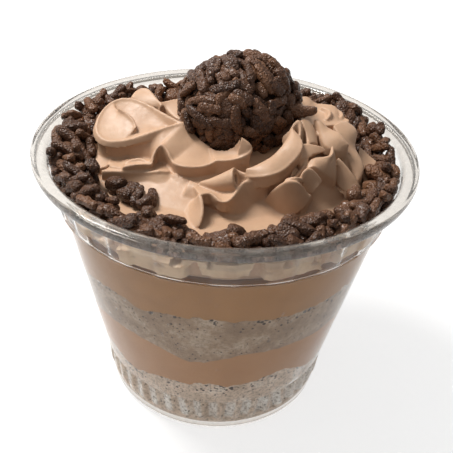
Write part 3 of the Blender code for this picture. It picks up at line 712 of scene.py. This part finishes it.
def touches(degrees, height):
    """1 where the cream is pressed on the neck's wall, 0 where it stands off."""
    turn = np.radians(degrees)
    spots = polar(NECK_R, turn, height)
    wander = cloud(spots, 2.6, 41)
    total = np.zeros(np.shape(degrees))
    for first, last, low in PATCHES:
        across = np.minimum(degrees - first, last - degrees) + 1.4 * wander
        up = height - low + 0.45 * wander
        total = np.maximum(total, smooth_step(across, -0.6, 0.6) * smooth_step(up, -0.25, 0.25))
    holes = smooth_step(cloud(spots, 1.9, 42), 0.35, 0.55)
    return total * (1 - holes * smooth_step(height, 64.5, 66.5))


def mound():
    """The bare mound as a polar height field, with its side in the neck over a flat underside."""
    degrees = np.linspace(-180, 180, 540, endpoint=False)
    angles = np.radians(degrees)
    top = cream_top(np.arange(1.0, 41.0, 0.8), angles)
    sides, smears = [], []
    brim = cream_height(41.5 * np.cos(angles), 41.5 * np.sin(angles)) - 0.3
    for part in np.linspace(0, 1, 24):
        height = brim + (CREAM_Z - brim) * part
        pressed = touches(degrees, height)
        reach = wall_inside(angles, height) + PRESS - STAND_OFF * (1 - pressed)
        reach = reach - 0.9 * (1 - smooth_step(brim - height, 0, 1.2))
        sides.append(polar(reach, angles, height))
        smears.append(pressed)
    low = top[:1] * (1, 1, 0) + (0, 0, CREAM_Z)
    none = np.zeros(top.shape[:2])
    smears = np.concatenate([none, smears, none[:1]])[::-1]
    return loft(np.concatenate([top, sides, low])[::-1]), smears.ravel()


def sampled(line, at, where=None):
    """The line at some places, given where its own points lie, or else by their number."""
    where = np.arange(len(line)) if where is None else where
    return np.stack([np.interp(at, where, column) for column in line.T], axis=1)


def between(first, last, start, end, at):
    """Straight from the first point at start to the last at end."""
    return ((end - at) * first + (at - start) * last) / (end - start)


def curve_through(points, step):
    """A centripetal Catmull-Rom curve through the points, sampled every step."""
    knots = np.array(points)
    knots = np.vstack([2 * knots[0] - knots[1], knots, 2 * knots[-1] - knots[-2]])
    fine = []
    for a, b, c, d in zip(knots[:-3], knots[1:-2], knots[2:-1], knots[3:]):
        t1 = np.linalg.norm(b - a) ** 0.5
        t2 = t1 + np.linalg.norm(c - b) ** 0.5
        t3 = t2 + np.linalg.norm(d - c) ** 0.5
        at = np.linspace(t1, t2, 16, endpoint=False)[:, None]
        middle = between(b, c, t1, t2, at)
        back = between(between(a, b, 0, t1, at), middle, 0, t2, at)
        ahead = between(middle, between(c, d, t2, t3, at), t1, t3, at)
        fine.append(between(back, ahead, t1, t2, at))
    fine = np.vstack(fine + [knots[-2]])
    run = np.append(0, np.cumsum(np.linalg.norm(np.diff(fine, axis=0), axis=1)))
    return sampled(fine, np.linspace(0, run[-1], max(4, round(run[-1] / step) + 1)), run)


def eased(curve, reach):
    """The curve with its bends evened out over a reach, both ends carried straight on."""
    step = np.linalg.norm(np.diff(curve, axis=0), axis=1).mean()
    n = min(int(3 * reach / step) + 1, len(curve) - 1)
    weight = np.exp(-0.5 * (np.arange(-n, n + 1) * step / reach) ** 2)
    weight /= weight.sum()
    head = 2 * curve[0] - curve[1:n + 1][::-1]
    tail = 2 * curve[-1] - curve[-n - 1:-1][::-1]
    full = np.vstack([head, curve, tail])
    return np.stack([np.convolve(full[:, k], weight, "valid") for k in range(3)], axis=1)


def rightwards(curve):
    """Level unit vectors to the right of the curve's run."""
    run = np.gradient(curve, axis=0)[:, :2]
    run /= np.linalg.norm(run, axis=1)[:, None]
    return np.stack([run[:, 1], -run[:, 0]], axis=1)


def run_of(names):
    """The points of one or more lines, end to end."""
    points = []
    for name in names.split():
        joined = bool(points) and math.dist(points[-1], LINES[name][0]) < SAME_POINT
        points += list(LINES[name][int(joined):])
    return points


def crest_sheet(crest, depth, foot_width, lean, foot=None):
    """A thin standing sheet from its crest down to a thicker foot."""
    top = curve_through(crest, CREST_STEP)
    if foot is None:
        low = eased(top, FOOT_EASE) - (0, 0, depth)
        low[:, :2] += rightwards(low) * lean
    else:
        low = resampled(curve_through(foot, CREST_STEP), len(top))
    right, left = [], []
    for part in np.concatenate([[0, 0.04], np.linspace(0.12, 1, 9)]):
        level = top + (low - top) * part
        side = rightwards(eased(level, 0.6))
        half = 0.5 * (CREST_WIDTH + (foot_width - CREST_WIDTH) * part)
        if part == 0:
            half *= 0.5
            level = level + (0, 0, 0.2)
        right.append(np.column_stack([level[:, :2] + side * half, level[:, 2]]))
        left.append(np.column_stack([level[:, :2] - side * half, level[:, 2]]))
    return loft(np.stack(right + left[::-1], axis=1))


def resampled(line, count):
    """The line with another number of points."""
    return sampled(line, np.linspace(0, len(line) - 1, count))


def face_body(edge, other, sag, thick=None):
    """A leaf or a solid under a sagging face stretched between two edges."""
    edge, other = curve_through(edge, FACE_STEP), curve_through(other, FACE_STEP)
    count = max(len(edge), len(other))
    edge, other = resampled(edge, count), resampled(other, count)
    top, low = [], []
    for part in np.linspace(0, 1, FACE_ROWS):
        line = edge * (1 - part) + other * part
        line[:, 2] -= sag * 4 * part * (1 - part)
        top.append(line)
        under = line[:, 2] - thick if thick else np.full(count, BASE_Z)
        low.append(np.column_stack([line[:, :2], under]))
    return loft(np.stack(top + low[::-1], axis=1))


def tube_body():
    """The rolled ribbon end, widening to its mouth, with a hole turned back into it."""
    run = arc(*TUBE)
    half = TUBE_HALF * np.linspace(0.04, 1, len(run)) ** 0.6
    centres = np.vstack([run, run[-1:], run[-3:-4:-1], run[-4:-5:-1]])
    half = np.concatenate([half, TUBE_HALF * TUBE_HOLE * np.array([1.0, 0.9, 0.5])])[:, None, None]
    along = run[-1] - run[2]
    across = np.cross(along, (0, 0, 1))
    across /= np.linalg.norm(across)
    up = np.cross(across, along)
    up /= np.linalg.norm(up)
    turn = np.linspace(0, 2 * math.pi, 36, endpoint=False)[None, :, None]
    return loft(centres[:, None] + (np.cos(turn) * across + np.sin(turn) * up) * half)


def cream_solids():
    """Every face and every crest, as overlapping closed bodies."""
    bodies = [inner_mound(), tube_body()]
    bodies += [face_body(run_of(edge), run_of(other), *sizes) for edge, other, *sizes in FACES]
    for crest, depth, width, lean, *foot in CRESTS:
        bodies.append(crest_sheet(run_of(crest), depth, width, lean, *map(run_of, foot)))
    return bodies


def largest_body(obj):
    """Drops loose scraps and sealed hollows."""
    bm = bmesh.new()
    bm.from_mesh(obj.data)
    seen = set()
    bodies = []
    for start in bm.verts:
        if start.index in seen:
            continue
        body = [start]
        seen.add(start.index)
        for vert in body:
            for edge in vert.link_edges:
                other = edge.other_vert(vert)
                if other.index not in seen:
                    seen.add(other.index)
                    body.append(other)
        bodies.append(body)
    bodies.sort(key=len)
    for body in bodies[:-1]:
        bmesh.ops.delete(bm, geom=body, context="VERTS")
    bm.to_mesh(obj.data)
    bm.free()


def inner_mound():
    """The middle of the mound, lying a hair over the skirt and dipping under it at its rim."""
    angles = np.radians(np.linspace(-180, 180, 360, endpoint=False))
    top = cream_top([*np.arange(1.0, SWIRL_REACH, 0.8), SWIRL_REACH], angles) + (0, 0, OVER_SKIRT)
    rim = top[-1:] * (1.03, 1.03, 1) - (0, 0, 1.5)
    base = rim * (1, 1, 0) + (0, 0, BASE_Z - 1.5)
    return loft(np.concatenate([top, rim, base, base * (0.01, 0.01, 1)])[::-1])


def make_skirt(finish):
    (verts, faces), smears = mound()
    skirt = mesh_object("piped_skirt", verts, faces, finish, flat_above=60)
    set_number(skirt, "pressed", smears)
    points = points_of(skirt)
    relief = 0.16 * cloud(points, 3.4, 51) * smooth_step(points[:, 2], 64.5, 66.0)
    set_points(skirt, swollen(skirt, relief))
    return skirt


def make_swirl(finish):
    verts, faces, count = [], [], 0
    for points, polygons in cream_solids():
        verts.append(points)
        faces += [[i + count for i in polygon] for polygon in polygons]
        count += len(points)
    cream = mesh_object("piped_swirl", np.vstack(verts), faces, smooth=False)
    remesh = cream.modifiers.new("one_body", "REMESH")
    remesh.mode = "VOXEL"
    remesh.voxel_size = VOXEL * MM
    even = cream.modifiers.new("even", "SMOOTH")
    even.factor = 0.5
    even.iterations = 4
    apply_modifiers(cream)
    largest_body(cream)
    points = points_of(cream)
    relief = 0.13 * cloud(points, 3.4, 51) + 0.03 * cloud(points, 1.2, 52)
    points = swollen(cream, relief * smooth_step(points[:, 2], 66.0, 67.5))
    # the hollow that the brigadeiro presses
    away = points - BALL_C
    far = np.linalg.norm(away, axis=1)
    inside = far < BALL_SEAT_R
    points[inside] = np.array(BALL_C) + away[inside] / far[inside, None] * BALL_SEAT_R
    set_points(cream, points)
    few = cream.modifiers.new("few", "DECIMATE")
    few.ratio = min(1.0, TRIANGLES / (2 * len(cream.data.polygons)))
    apply_modifiers(cream)
    cream.data.shade_smooth()
    cream.data.materials.clear()
    cream.data.materials.append(finish)
    return cream


# ---- sprinkles ----
BALL_C = (2.7, 7.2, 81.2)
BALL_CORE_R = 13.2
BALL_SKIN = 3.6  # how deep the gaps between its sprinkles reach
BALL_R = 15.0
BALL_WIDER = np.array((1.12, 1.0, 0.97))
BALL_SEAT_R = 14.6
BALL_SPRINKLES = 215
BALL_FLAT = np.array((-0.530, 0.477, 0.701))  # the ball is pressed flatter on this side
BALL_FLAT_AT = 13.3
BALL_STRETCH = (1.12, 1.05, 1.0)
BALL_GRAIN = np.array((0.8, 0.5, 0.75))  # most rods run square to this
# rods that stand off the ball: centre, direction and half sizes
BALL_STRAYS = (((18.4, 2.0, 83.0), (1.0, -0.1, 0.1), (4.0, 1.4, 1.3)),)
RING_R = 46.2  # how far out their outer ends may lie
# the wall that stops them, as radius and height: far down inside, up the neck and over the rim
FLARE = ((0, 0), (43, 50), (43.5, 65), (44.5, 70), (46, 72), (48.5, 74.5))
GOLDEN_SHARE = 0.618034  # of a turn between one sprinkle and the next
BLOCK = (10, 4, 4)  # faces along the sides of the block that a sprinkle is rounded from
RING_TRIES = 2200  # sprinkles dropped on the ring
MOST_SPRINKLES = 515  # that it may hold, with the larger ones
BLOCKY_SHARE = 0.14  # of the sprinkles are blocks rather than rods
FRONT_SPRINKLES = 46  # larger ones that lie at the ring's inner edge
FRONT_BLOCKY_SHARE = 0.6
FRONT = (-160, -5)  # from the left round the front to the right, in degrees
SLOPE_AT = -134  # in the middle of the open slope, where they lie further in
SLOPE_WIDE = 16  # half its width
NECK_TOP = (43.4, 70.5)  # radius and height over which the ring may spread as it is heaped
LIFT = (0.8, 2.5)  # how far over its ring's height a sprinkle may lie: on others, on cream
GRID_STEP = 0.5  # of the grid of heights on which they come to rest
GRID_HALF = 52.0


def block_template():
    """Points and faces of a cube's skin, cut most finely along x."""
    index, quads = {}, []
    for axis in range(3):
        one, two = (axis + 1) % 3, (axis + 2) % 3
        for side in (0, BLOCK[axis]):
            for i, j in np.ndindex(BLOCK[one], BLOCK[two]):
                quad = []
                for step in ((0, 0), (1, 0), (1, 1), (0, 1)):
                    cell = [side] * 3
                    cell[one], cell[two] = i + step[0], j + step[1]
                    quad.append(index.setdefault(tuple(cell), len(index)))
                quads.append(quad if side else quad[::-1])
    return np.array(list(index)) * 2.0 / BLOCK - 1, np.array(quads)


def sprinkle_points(template, centre, axes, size, bend, square, shift):
    """One lumpy rod: a rounded block of three half sizes, bent and dented."""
    reach = (np.abs(template) ** square).sum(axis=1) ** (-1 / square)
    unit = template * reach[:, None]
    local = unit * size
    out = unit / size
    out /= np.linalg.norm(out, axis=1)[:, None]
    lumps = 0.34 * cloud(local + shift, 1.7, 61) + 0.22 * cloud(local + shift, 0.8, 62)
    local[:, 1] += 0.8 * bend * np.sin(shift[0]) * unit[:, 0] ** 2
    local[:, 2] += bend * unit[:, 0] ** 2
    return centre + (local + out * lumps[:, None]) @ axes


def sprinkle_cluster(name, sprinkles, finish):
    """Joins sprinkles, given as (centre, axes, size, bend, square, shift), into one mesh."""
    template, quads = block_template()
    verts, faces, tones = [], [], []
    for index, sprinkle in enumerate(sprinkles):
        verts.append(sprinkle_points(template, *sprinkle))
        faces.append(quads + index * len(template))
        tones.append(np.full(len(template), (index * GOLDEN_SHARE) % 1.0))
    obj = mesh_object(name, np.vstack(verts), np.vstack(faces).tolist(), finish)
    set_number(obj, "tone", np.concatenate(tones))
    return obj


def axes_from(along, up):
    """Rows: along, across and out, at right angles."""
    along = along / np.linalg.norm(along)
    across = np.cross(up, along)
    across = across / np.linalg.norm(across)
    return np.array([along, across, np.cross(along, across)])


def random_size(rng, chunk_share):
    """Half sizes of a sprinkle: mostly rods, some blocks."""
    if rng.random() < chunk_share:
        long = rng.uniform(1.9, 3.3)
        return np.array([long, long * rng.uniform(0.6, 0.85), rng.uniform(1.2, 1.8)])
    long = 1.7 + 3.0 * rng.random() ** 1.4
    wide = rng.uniform(0.95, 1.3)
    return np.array([long, wide, wide * rng.uniform(0.85, 1.0)])


def ball_radius(away):
    """Radius of the uneven ball in a direction."""
    facing = max(float(away @ BALL_FLAT), 0.05)
    flat = BALL_FLAT_AT / facing
    swell = BALL_R / float(np.linalg.norm(away / BALL_WIDER)) + 0.35 * float(cloud(away * BALL_R, 9.0, 73))
    return -math.log(math.exp(-flat) + math.exp(-swell)) if flat < 40 else swell


def ball_sprinkles():
    """Rods pressed on the ball, each placed where it lies freest of those before it."""
    rng = np.random.RandomState(17)
    taken = np.zeros((0, 3))
    out = []
    for index in range(BALL_SPRINKLES):
        size = random_size(random.Random(index), BLOCKY_SHARE) * BALL_STRETCH
        best = None
        for _ in range(60):
            away = rng.normal(size=3)
            away /= np.linalg.norm(away)
            along = np.cross(away, BALL_GRAIN + rng.normal(size=3) * 0.8)
            along /= np.linalg.norm(along)
            spots = away * BALL_R + np.linspace(-0.75, 0.75, 5)[:, None] * along * size[0]
            spots *= BALL_R / np.linalg.norm(spots, axis=1)[:, None]
            gap = 9.0
            if len(taken):
                gap = np.linalg.norm(spots[:, None] - taken[None], axis=2).min()
            if best is None or gap > best[0]:
                best = (gap, away, along, spots)
        gap, away, along, spots = best
        taken = np.vstack([taken, spots])
        sunk = 0.1 + 1.1 * float(smooth_step(np.array(gap), 1.2, 2.8)) + rng.uniform(0, 0.5)
        along = along + away * rng.uniform(-0.12, 0.12)
        bend = -size[0] ** 2 / (2 * BALL_R)
        centre = np.array(BALL_C) + away * (ball_radius(away) - size[2] - sunk)
        shift = rng.uniform(0, 40, 3)
        out.append((centre, axes_from(along, away), size, bend, rng.uniform(2.8, 5.0), shift))
    for centre, along, size in np.array(BALL_STRAYS):
        out.append((centre, axes_from(along, centre - BALL_C), size, 0.0, 3.6, np.ones(3)))
    return out


def cell_at(x, y):
    """The grid's cell under a point."""
    return round((x + GRID_HALF) / GRID_STEP), round((y + GRID_HALF) / GRID_STEP)


def wall_grid():
    """Height of the cup's wall in each cell of the grid."""
    steps = np.arange(int(2 * GRID_HALF / GRID_STEP) + 1) * GRID_STEP - GRID_HALF
    return np.interp(np.hypot(steps[:, None], steps), *zip(*FLARE))


WALL_UNDER = wall_grid()


def height_grid(points):
    """Highest point of the cream in each cell."""
    grid = np.full(WALL_UNDER.shape, 60.0)
    cell = np.clip(((points[:, :2] + GRID_HALF) / GRID_STEP).round().astype(int), 0, len(grid) - 1)
    np.maximum.at(grid, (cell[:, 0], cell[:, 1]), points[:, 2])
    return grid


def front_sprinkles(rng):
    """The larger sprinkles at the ring's inner edge: place, size and turn of each."""
    for index in range(FRONT_SPRINKLES):
        share = (index * GOLDEN_SHARE) % 1
        angle = math.radians(FRONT[0] + (FRONT[1] - FRONT[0]) * share)
        open_slope = math.exp(-((math.degrees(angle) - SLOPE_AT) / SLOPE_WIDE) ** 2)
        far = float(ring_at(angle, 1)) + rng.uniform(-1.0 - 11 * open_slope, 2.5 - 2 * open_slope)
        size = random_size(rng, FRONT_BLOCKY_SHARE)
        yield far * math.cos(angle), far * math.sin(angle), size, rng.uniform(-math.pi, math.pi)


def ring_sprinkles(cream_points):
    """Lets sprinkles lie on the cream and on each other, most where the heap is lowest."""
    rng = random.Random(29)
    grid = height_grid(cream_points)
    bare = np.ones(grid.shape)
    out = []
    for x, y, size, turn in front_sprinkles(rng):
        out.append(lay_sprinkle(rng, grid, bare, x, y, turn, size))
    for _ in range(RING_TRIES):
        size = random_size(rng, BLOCKY_SHARE)
        best = None
        for _ in range(20):
            angle = rng.uniform(-math.pi, math.pi)
            twist = rng.uniform(-1.35, 1.35)
            reach = size[0] * abs(math.sin(twist)) + size[1] * abs(math.cos(twist))
            inner = float(ring_at(angle, 1)) + 0.4 * reach
            heap = float(ring_at(angle, 2))
            outer = min(RING_R, NECK_TOP[0] + max(0.0, heap - NECK_TOP[1])) - reach
            far = inner + (outer - inner) * rng.random() ** 0.7
            x, y = far * math.cos(angle), far * math.sin(angle)
            cell = cell_at(x, y)
            rise = float(smooth_step(np.array(far), inner - 2.0, inner + 5.0))
            target = SKIRT_Z + 1.5 + rise * (heap - SKIRT_Z - 1.5)
            lack = target - grid[cell] - 0.9 * size[2] + 2.5 * bare[cell]
            if best is None or lack > best[0]:
                best = (lack, x, y, angle + math.pi / 2 + twist, target, bare[cell])
        lack, x, y, turn, target, first = best
        if lack < 0 or len(out) == MOST_SPRINKLES:
            continue
        laid = lay_sprinkle(rng, grid.copy(), bare.copy(), x, y, turn, size)
        if laid[0][2] + 0.5 * size[2] > target + LIFT[int(first)]:
            continue
        out.append(lay_sprinkle(rng, grid, bare, x, y, turn, size))
    return out


def lay_sprinkle(rng, grid, bare, x, y, turn, size):
    """Rests one sprinkle on the grid's surface and adds it to the grid."""
    run = np.array([math.cos(turn), math.sin(turn)])
    ends = []
    for sign in (-0.6, 0.6):
        ends.append(grid[cell_at(*(np.array([x, y]) + sign * size[0] * run))])
    slope = np.clip((ends[1] - ends[0]) / (1.2 * size[0]), -0.6, 0.6) + rng.gauss(0, 0.15)
    reach = int(size[0] / GRID_STEP) + 2
    i, j = cell_at(x, y)
    window = (slice(i - reach, i + reach + 1), slice(j - reach, j + reach + 1))
    gx = (np.arange(i - reach, i + reach + 1) * GRID_STEP - GRID_HALF - x)[:, None]
    gy = (np.arange(j - reach, j + reach + 1) * GRID_STEP - GRID_HALF - y)[None, :]
    lengthways = gx * run[0] + gy * run[1]
    across = -gx * run[1] + gy * run[0]
    inside = 1 - (lengthways / size[0]) ** 4 - (across / size[1]) ** 2
    bulge = size[2] * np.sqrt(np.clip(inside, 0, 1))
    covered = inside > 0.12
    under = lengthways * slope - bulge
    rest = np.sort((grid[window] - under)[covered])
    z = rest[int(0.82 * (len(rest) - 1))] - 0.12 * size[2]
    z = max(z, float((WALL_UNDER[window] - under)[covered].max()))
    bare[window] = np.where(covered, 0, bare[window])
    top = z + lengthways * slope + bulge
    grid[window] = np.where(covered, np.maximum(grid[window], top), grid[window])
    along = np.array([run[0], run[1], slope])
    lean = np.array([rng.uniform(-0.2, 0.2), rng.uniform(-0.2, 0.2), 1.0])
    shift = np.array([rng.uniform(0, 40) for _ in range(3)])
    centre = np.array([x, y, z])
    return (centre, axes_from(along, lean), size, rng.uniform(-0.3, 0.3), rng.uniform(2.6, 5.0), shift)


# ---- finishes ----
def plastic_finish():
    """Thin clear plastic, duller where it is rolled at the rim and worn at the foot."""
    finish = Finish("clear_cup")
    dull = finish.number("haze")
    haze = finish.math("MULTIPLY", dull, finish.span(finish.noise(1.6, 3.0, 0.6), 0.4, 0.7, 0.0, 0.10))
    finish.set(Base_Color=finish.mix(dull, (0.94, 0.925, 0.90, 1), (0.74, 0.70, 0.65, 1)),
               Transmission_Weight=finish.math("SUBTRACT", 1.0, haze), Roughness=0.05, IOR=1.32)
    finish.bump((finish.noise(7.0, 2.0), 0.05), (finish.noise(1.4, 1.0), 0.006))
    return finish.material


def cream_finish(name, pale, deep, rough, gloss, glow):
    """Whipped or set cream: soft mottling, a satin sheen and light passing a little way in."""
    finish = Finish(name)
    tone = finish.noise(5.0, 4.0, 0.55)
    colour = finish.ramp(tone, (0.32, deep), (0.68, pale))
    smear = finish.math("MULTIPLY", finish.number("pressed"), finish.span(tone, 0.3, 0.6, 0.25, 0.85))
    finish.set(Base_Color=finish.mix(smear, colour, srgb(226, 202, 174)),
               Roughness=finish.span(finish.noise(2.0, 3.0), 0.3, 0.7, rough - 0.06, rough + 0.08),
               Specular_IOR_Level=gloss, Subsurface_Weight=glow, Subsurface_Scale=0.0006,
               Subsurface_Radius=(1.0, 0.7, 0.5))
    finish.bump((finish.noise(0.9, 3.0), 0.05), (finish.noise(0.3, 2.0), 0.02))
    return finish.material


def cake_finish(name, dim, base, pale):
    """Wet crumb pressed on the wall: grey and brown clouds, fine specks, pores painted dark as painted
    shade, and near-white stripes along the flutes as painted highlights.
    """
    finish = Finish(name)
    clouds = finish.noise(6.0, 5.0, 0.6)
    base = finish.ramp(clouds, (0.34, dim), (0.50, base), (0.66, pale))
    # painted highlight: the crumb is painted near white in stripes along the flutes
    flute_light_share = finish.math("MULTIPLY", finish.number("flute_light"), finish.span(clouds, 0.35, 0.6, 0.6, 1.0))
    base = finish.mix(flute_light_share, base, srgb(252, 248, 242))
    specks = finish.noise(0.8, 4.0, 0.7)
    base = finish.mix(finish.ramp(specks, (0.46, 0.0), (0.62, 0.7)), base, srgb(140, 116, 94))
    # painted shade: pores painted dark, crowded towards the layer's top edge, for the shade inside the
    # crumb's holes
    near_edge = finish.span(finish.number("under_edge"), 0.0, 5.0, 0.42, 0.20)
    pores = finish.math("LESS_THAN", finish.cells(1.3), near_edge)
    pores = finish.math("MULTIPLY", pores, finish.math("GREATER_THAN", finish.noise(1.8, 2.0), 0.50))
    finish.set(Base_Color=finish.mix(pores, base, srgb(66, 48, 36)), Roughness=0.55, Specular_IOR_Level=0.35)
    finish.bump((finish.noise(0.8, 4.0), 0.12))
    return finish.material


def sprinkle_finish():
    """Rough dark chocolate with a grainy skin that glints."""
    finish = Finish("sprinkle_chocolate")
    tone = finish.ramp(finish.number("tone"), (0.0, srgb(60, 37, 24)), (0.5, srgb(82, 54, 37)),
                       (1.0, srgb(106, 73, 51)))
    bloom = finish.ramp(finish.noise(0.8, 3.0), (0.5, 0.0), (0.72, 0.45))
    rough = finish.span(finish.noise(0.6, 3.0), 0.35, 0.65, 0.24, 0.55)
    finish.set(Base_Color=finish.mix(bloom, tone, srgb(126, 92, 68)), Roughness=rough,
               Specular_IOR_Level=0.34)
    grains = finish.ramp(finish.cells(0.6), (0.0, 1.0), (0.7, 0.0))
    finish.bump((finish.noise(0.9, 2.0), 0.20), (grains, 0.26))
    return finish.material


def floor_finish():
    """A white table, lit a little from below so that shadows on it stay pale."""
    finish = Finish("studio_floor")
    finish.set(Base_Color=finish.ramp(finish.noise(60.0, 2.0), (0.0, 0.33), (1.0, 0.37)), Roughness=0.9,
               Specular_IOR_Level=0.0, Emission_Color=(1, 1, 1, 1), Emission_Strength=0.74)
    return finish.material


# ---- the whole ----
FLOOR_HALF = 4000


def place(piece, node):
    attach(piece, "root")
    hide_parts(node)


def make_core(finish):
    """The sweet itself, dark in the gaps between its sprinkles."""
    bm = bmesh.new()
    bmesh.ops.create_icosphere(bm, subdivisions=5, radius=BALL_CORE_R)
    points = np.array([v.co[:] for v in bm.verts])
    faces = [[v.index for v in f.verts] for f in bm.faces]
    bm.free()
    reach = np.array([ball_radius(point / BALL_CORE_R) for point in points]) - BALL_SKIN
    points = points * ((reach + 0.4 * cloud(points, 3.0, 71)) / BALL_CORE_R)[:, None] + BALL_C
    core = mesh_object("brigadeiro_core", points, faces, finish)
    set_number(core, "tone", np.zeros(len(points)))
    return core


def main():
    add_camera()
    add_key()
    add_studio()
    corners = np.array(((-1, -1, 0), (1, -1, 0), (1, 1, 0), (-1, 1, 0))) * FLOOR_HALF
    mesh_object("floor", corners, [(0, 1, 2, 3)], floor_finish(), smooth=False)

    place(make_cup(plastic_finish()), "cup")

    # painted light: the lower cake is the same crumb painted paler, for the light that the floor throws on
    # the cup's lower band; the upper cake is the darker, shaded copy
    floor_lit_cake = cake_finish("cake_low_floor_lit", srgb(204, 182, 160), srgb(226, 204, 184), srgb(240, 228, 214))
    cake = cake_finish("cake_high", srgb(150, 123, 97), srgb(173, 146, 119), srgb(201, 181, 159))
    low_cream = cream_finish("set_cream_low", srgb(187, 138, 91), srgb(180, 131, 84), 0.42, 0.4, 0.0)
    cream = cream_finish("set_cream_high", srgb(175, 126, 70), srgb(167, 119, 64), 0.42, 0.4, 0.0)
    below = None
    for name, finish, recess, rows in (("cake_bottom", floor_lit_cake, cake_recess, 40),
                                       ("cream_lower", low_cream, cream_recess, 22),
                                       ("cake_middle", cake, cake_recess, 36),
                                       ("cream_upper", cream, cream_recess, 22)):
        place(make_layer(name, below, finish, recess, rows), name)
        below = name

    whipped = cream_finish("whipped_cream", srgb(188, 154, 126), srgb(180, 146, 119), 0.45, 0.3, 0.12)
    swirl, skirt = make_swirl(whipped), make_skirt(whipped)
    place(swirl, "piped_cream")
    place(skirt, "piped_cream")

    chocolate = sprinkle_finish()
    lying = ring_sprinkles(np.vstack([points_of(swirl), points_of(skirt)]))
    ring = sprinkle_cluster("ring_sprinkles", lying, chocolate)
    ball = sprinkle_cluster("ball_sprinkles", ball_sprinkles(), chocolate)
    for piece, node in ((ring, "piped_cream"), (ball, "brigadeiro"), (make_core(chocolate), "brigadeiro")):
        place(piece, node)


main()
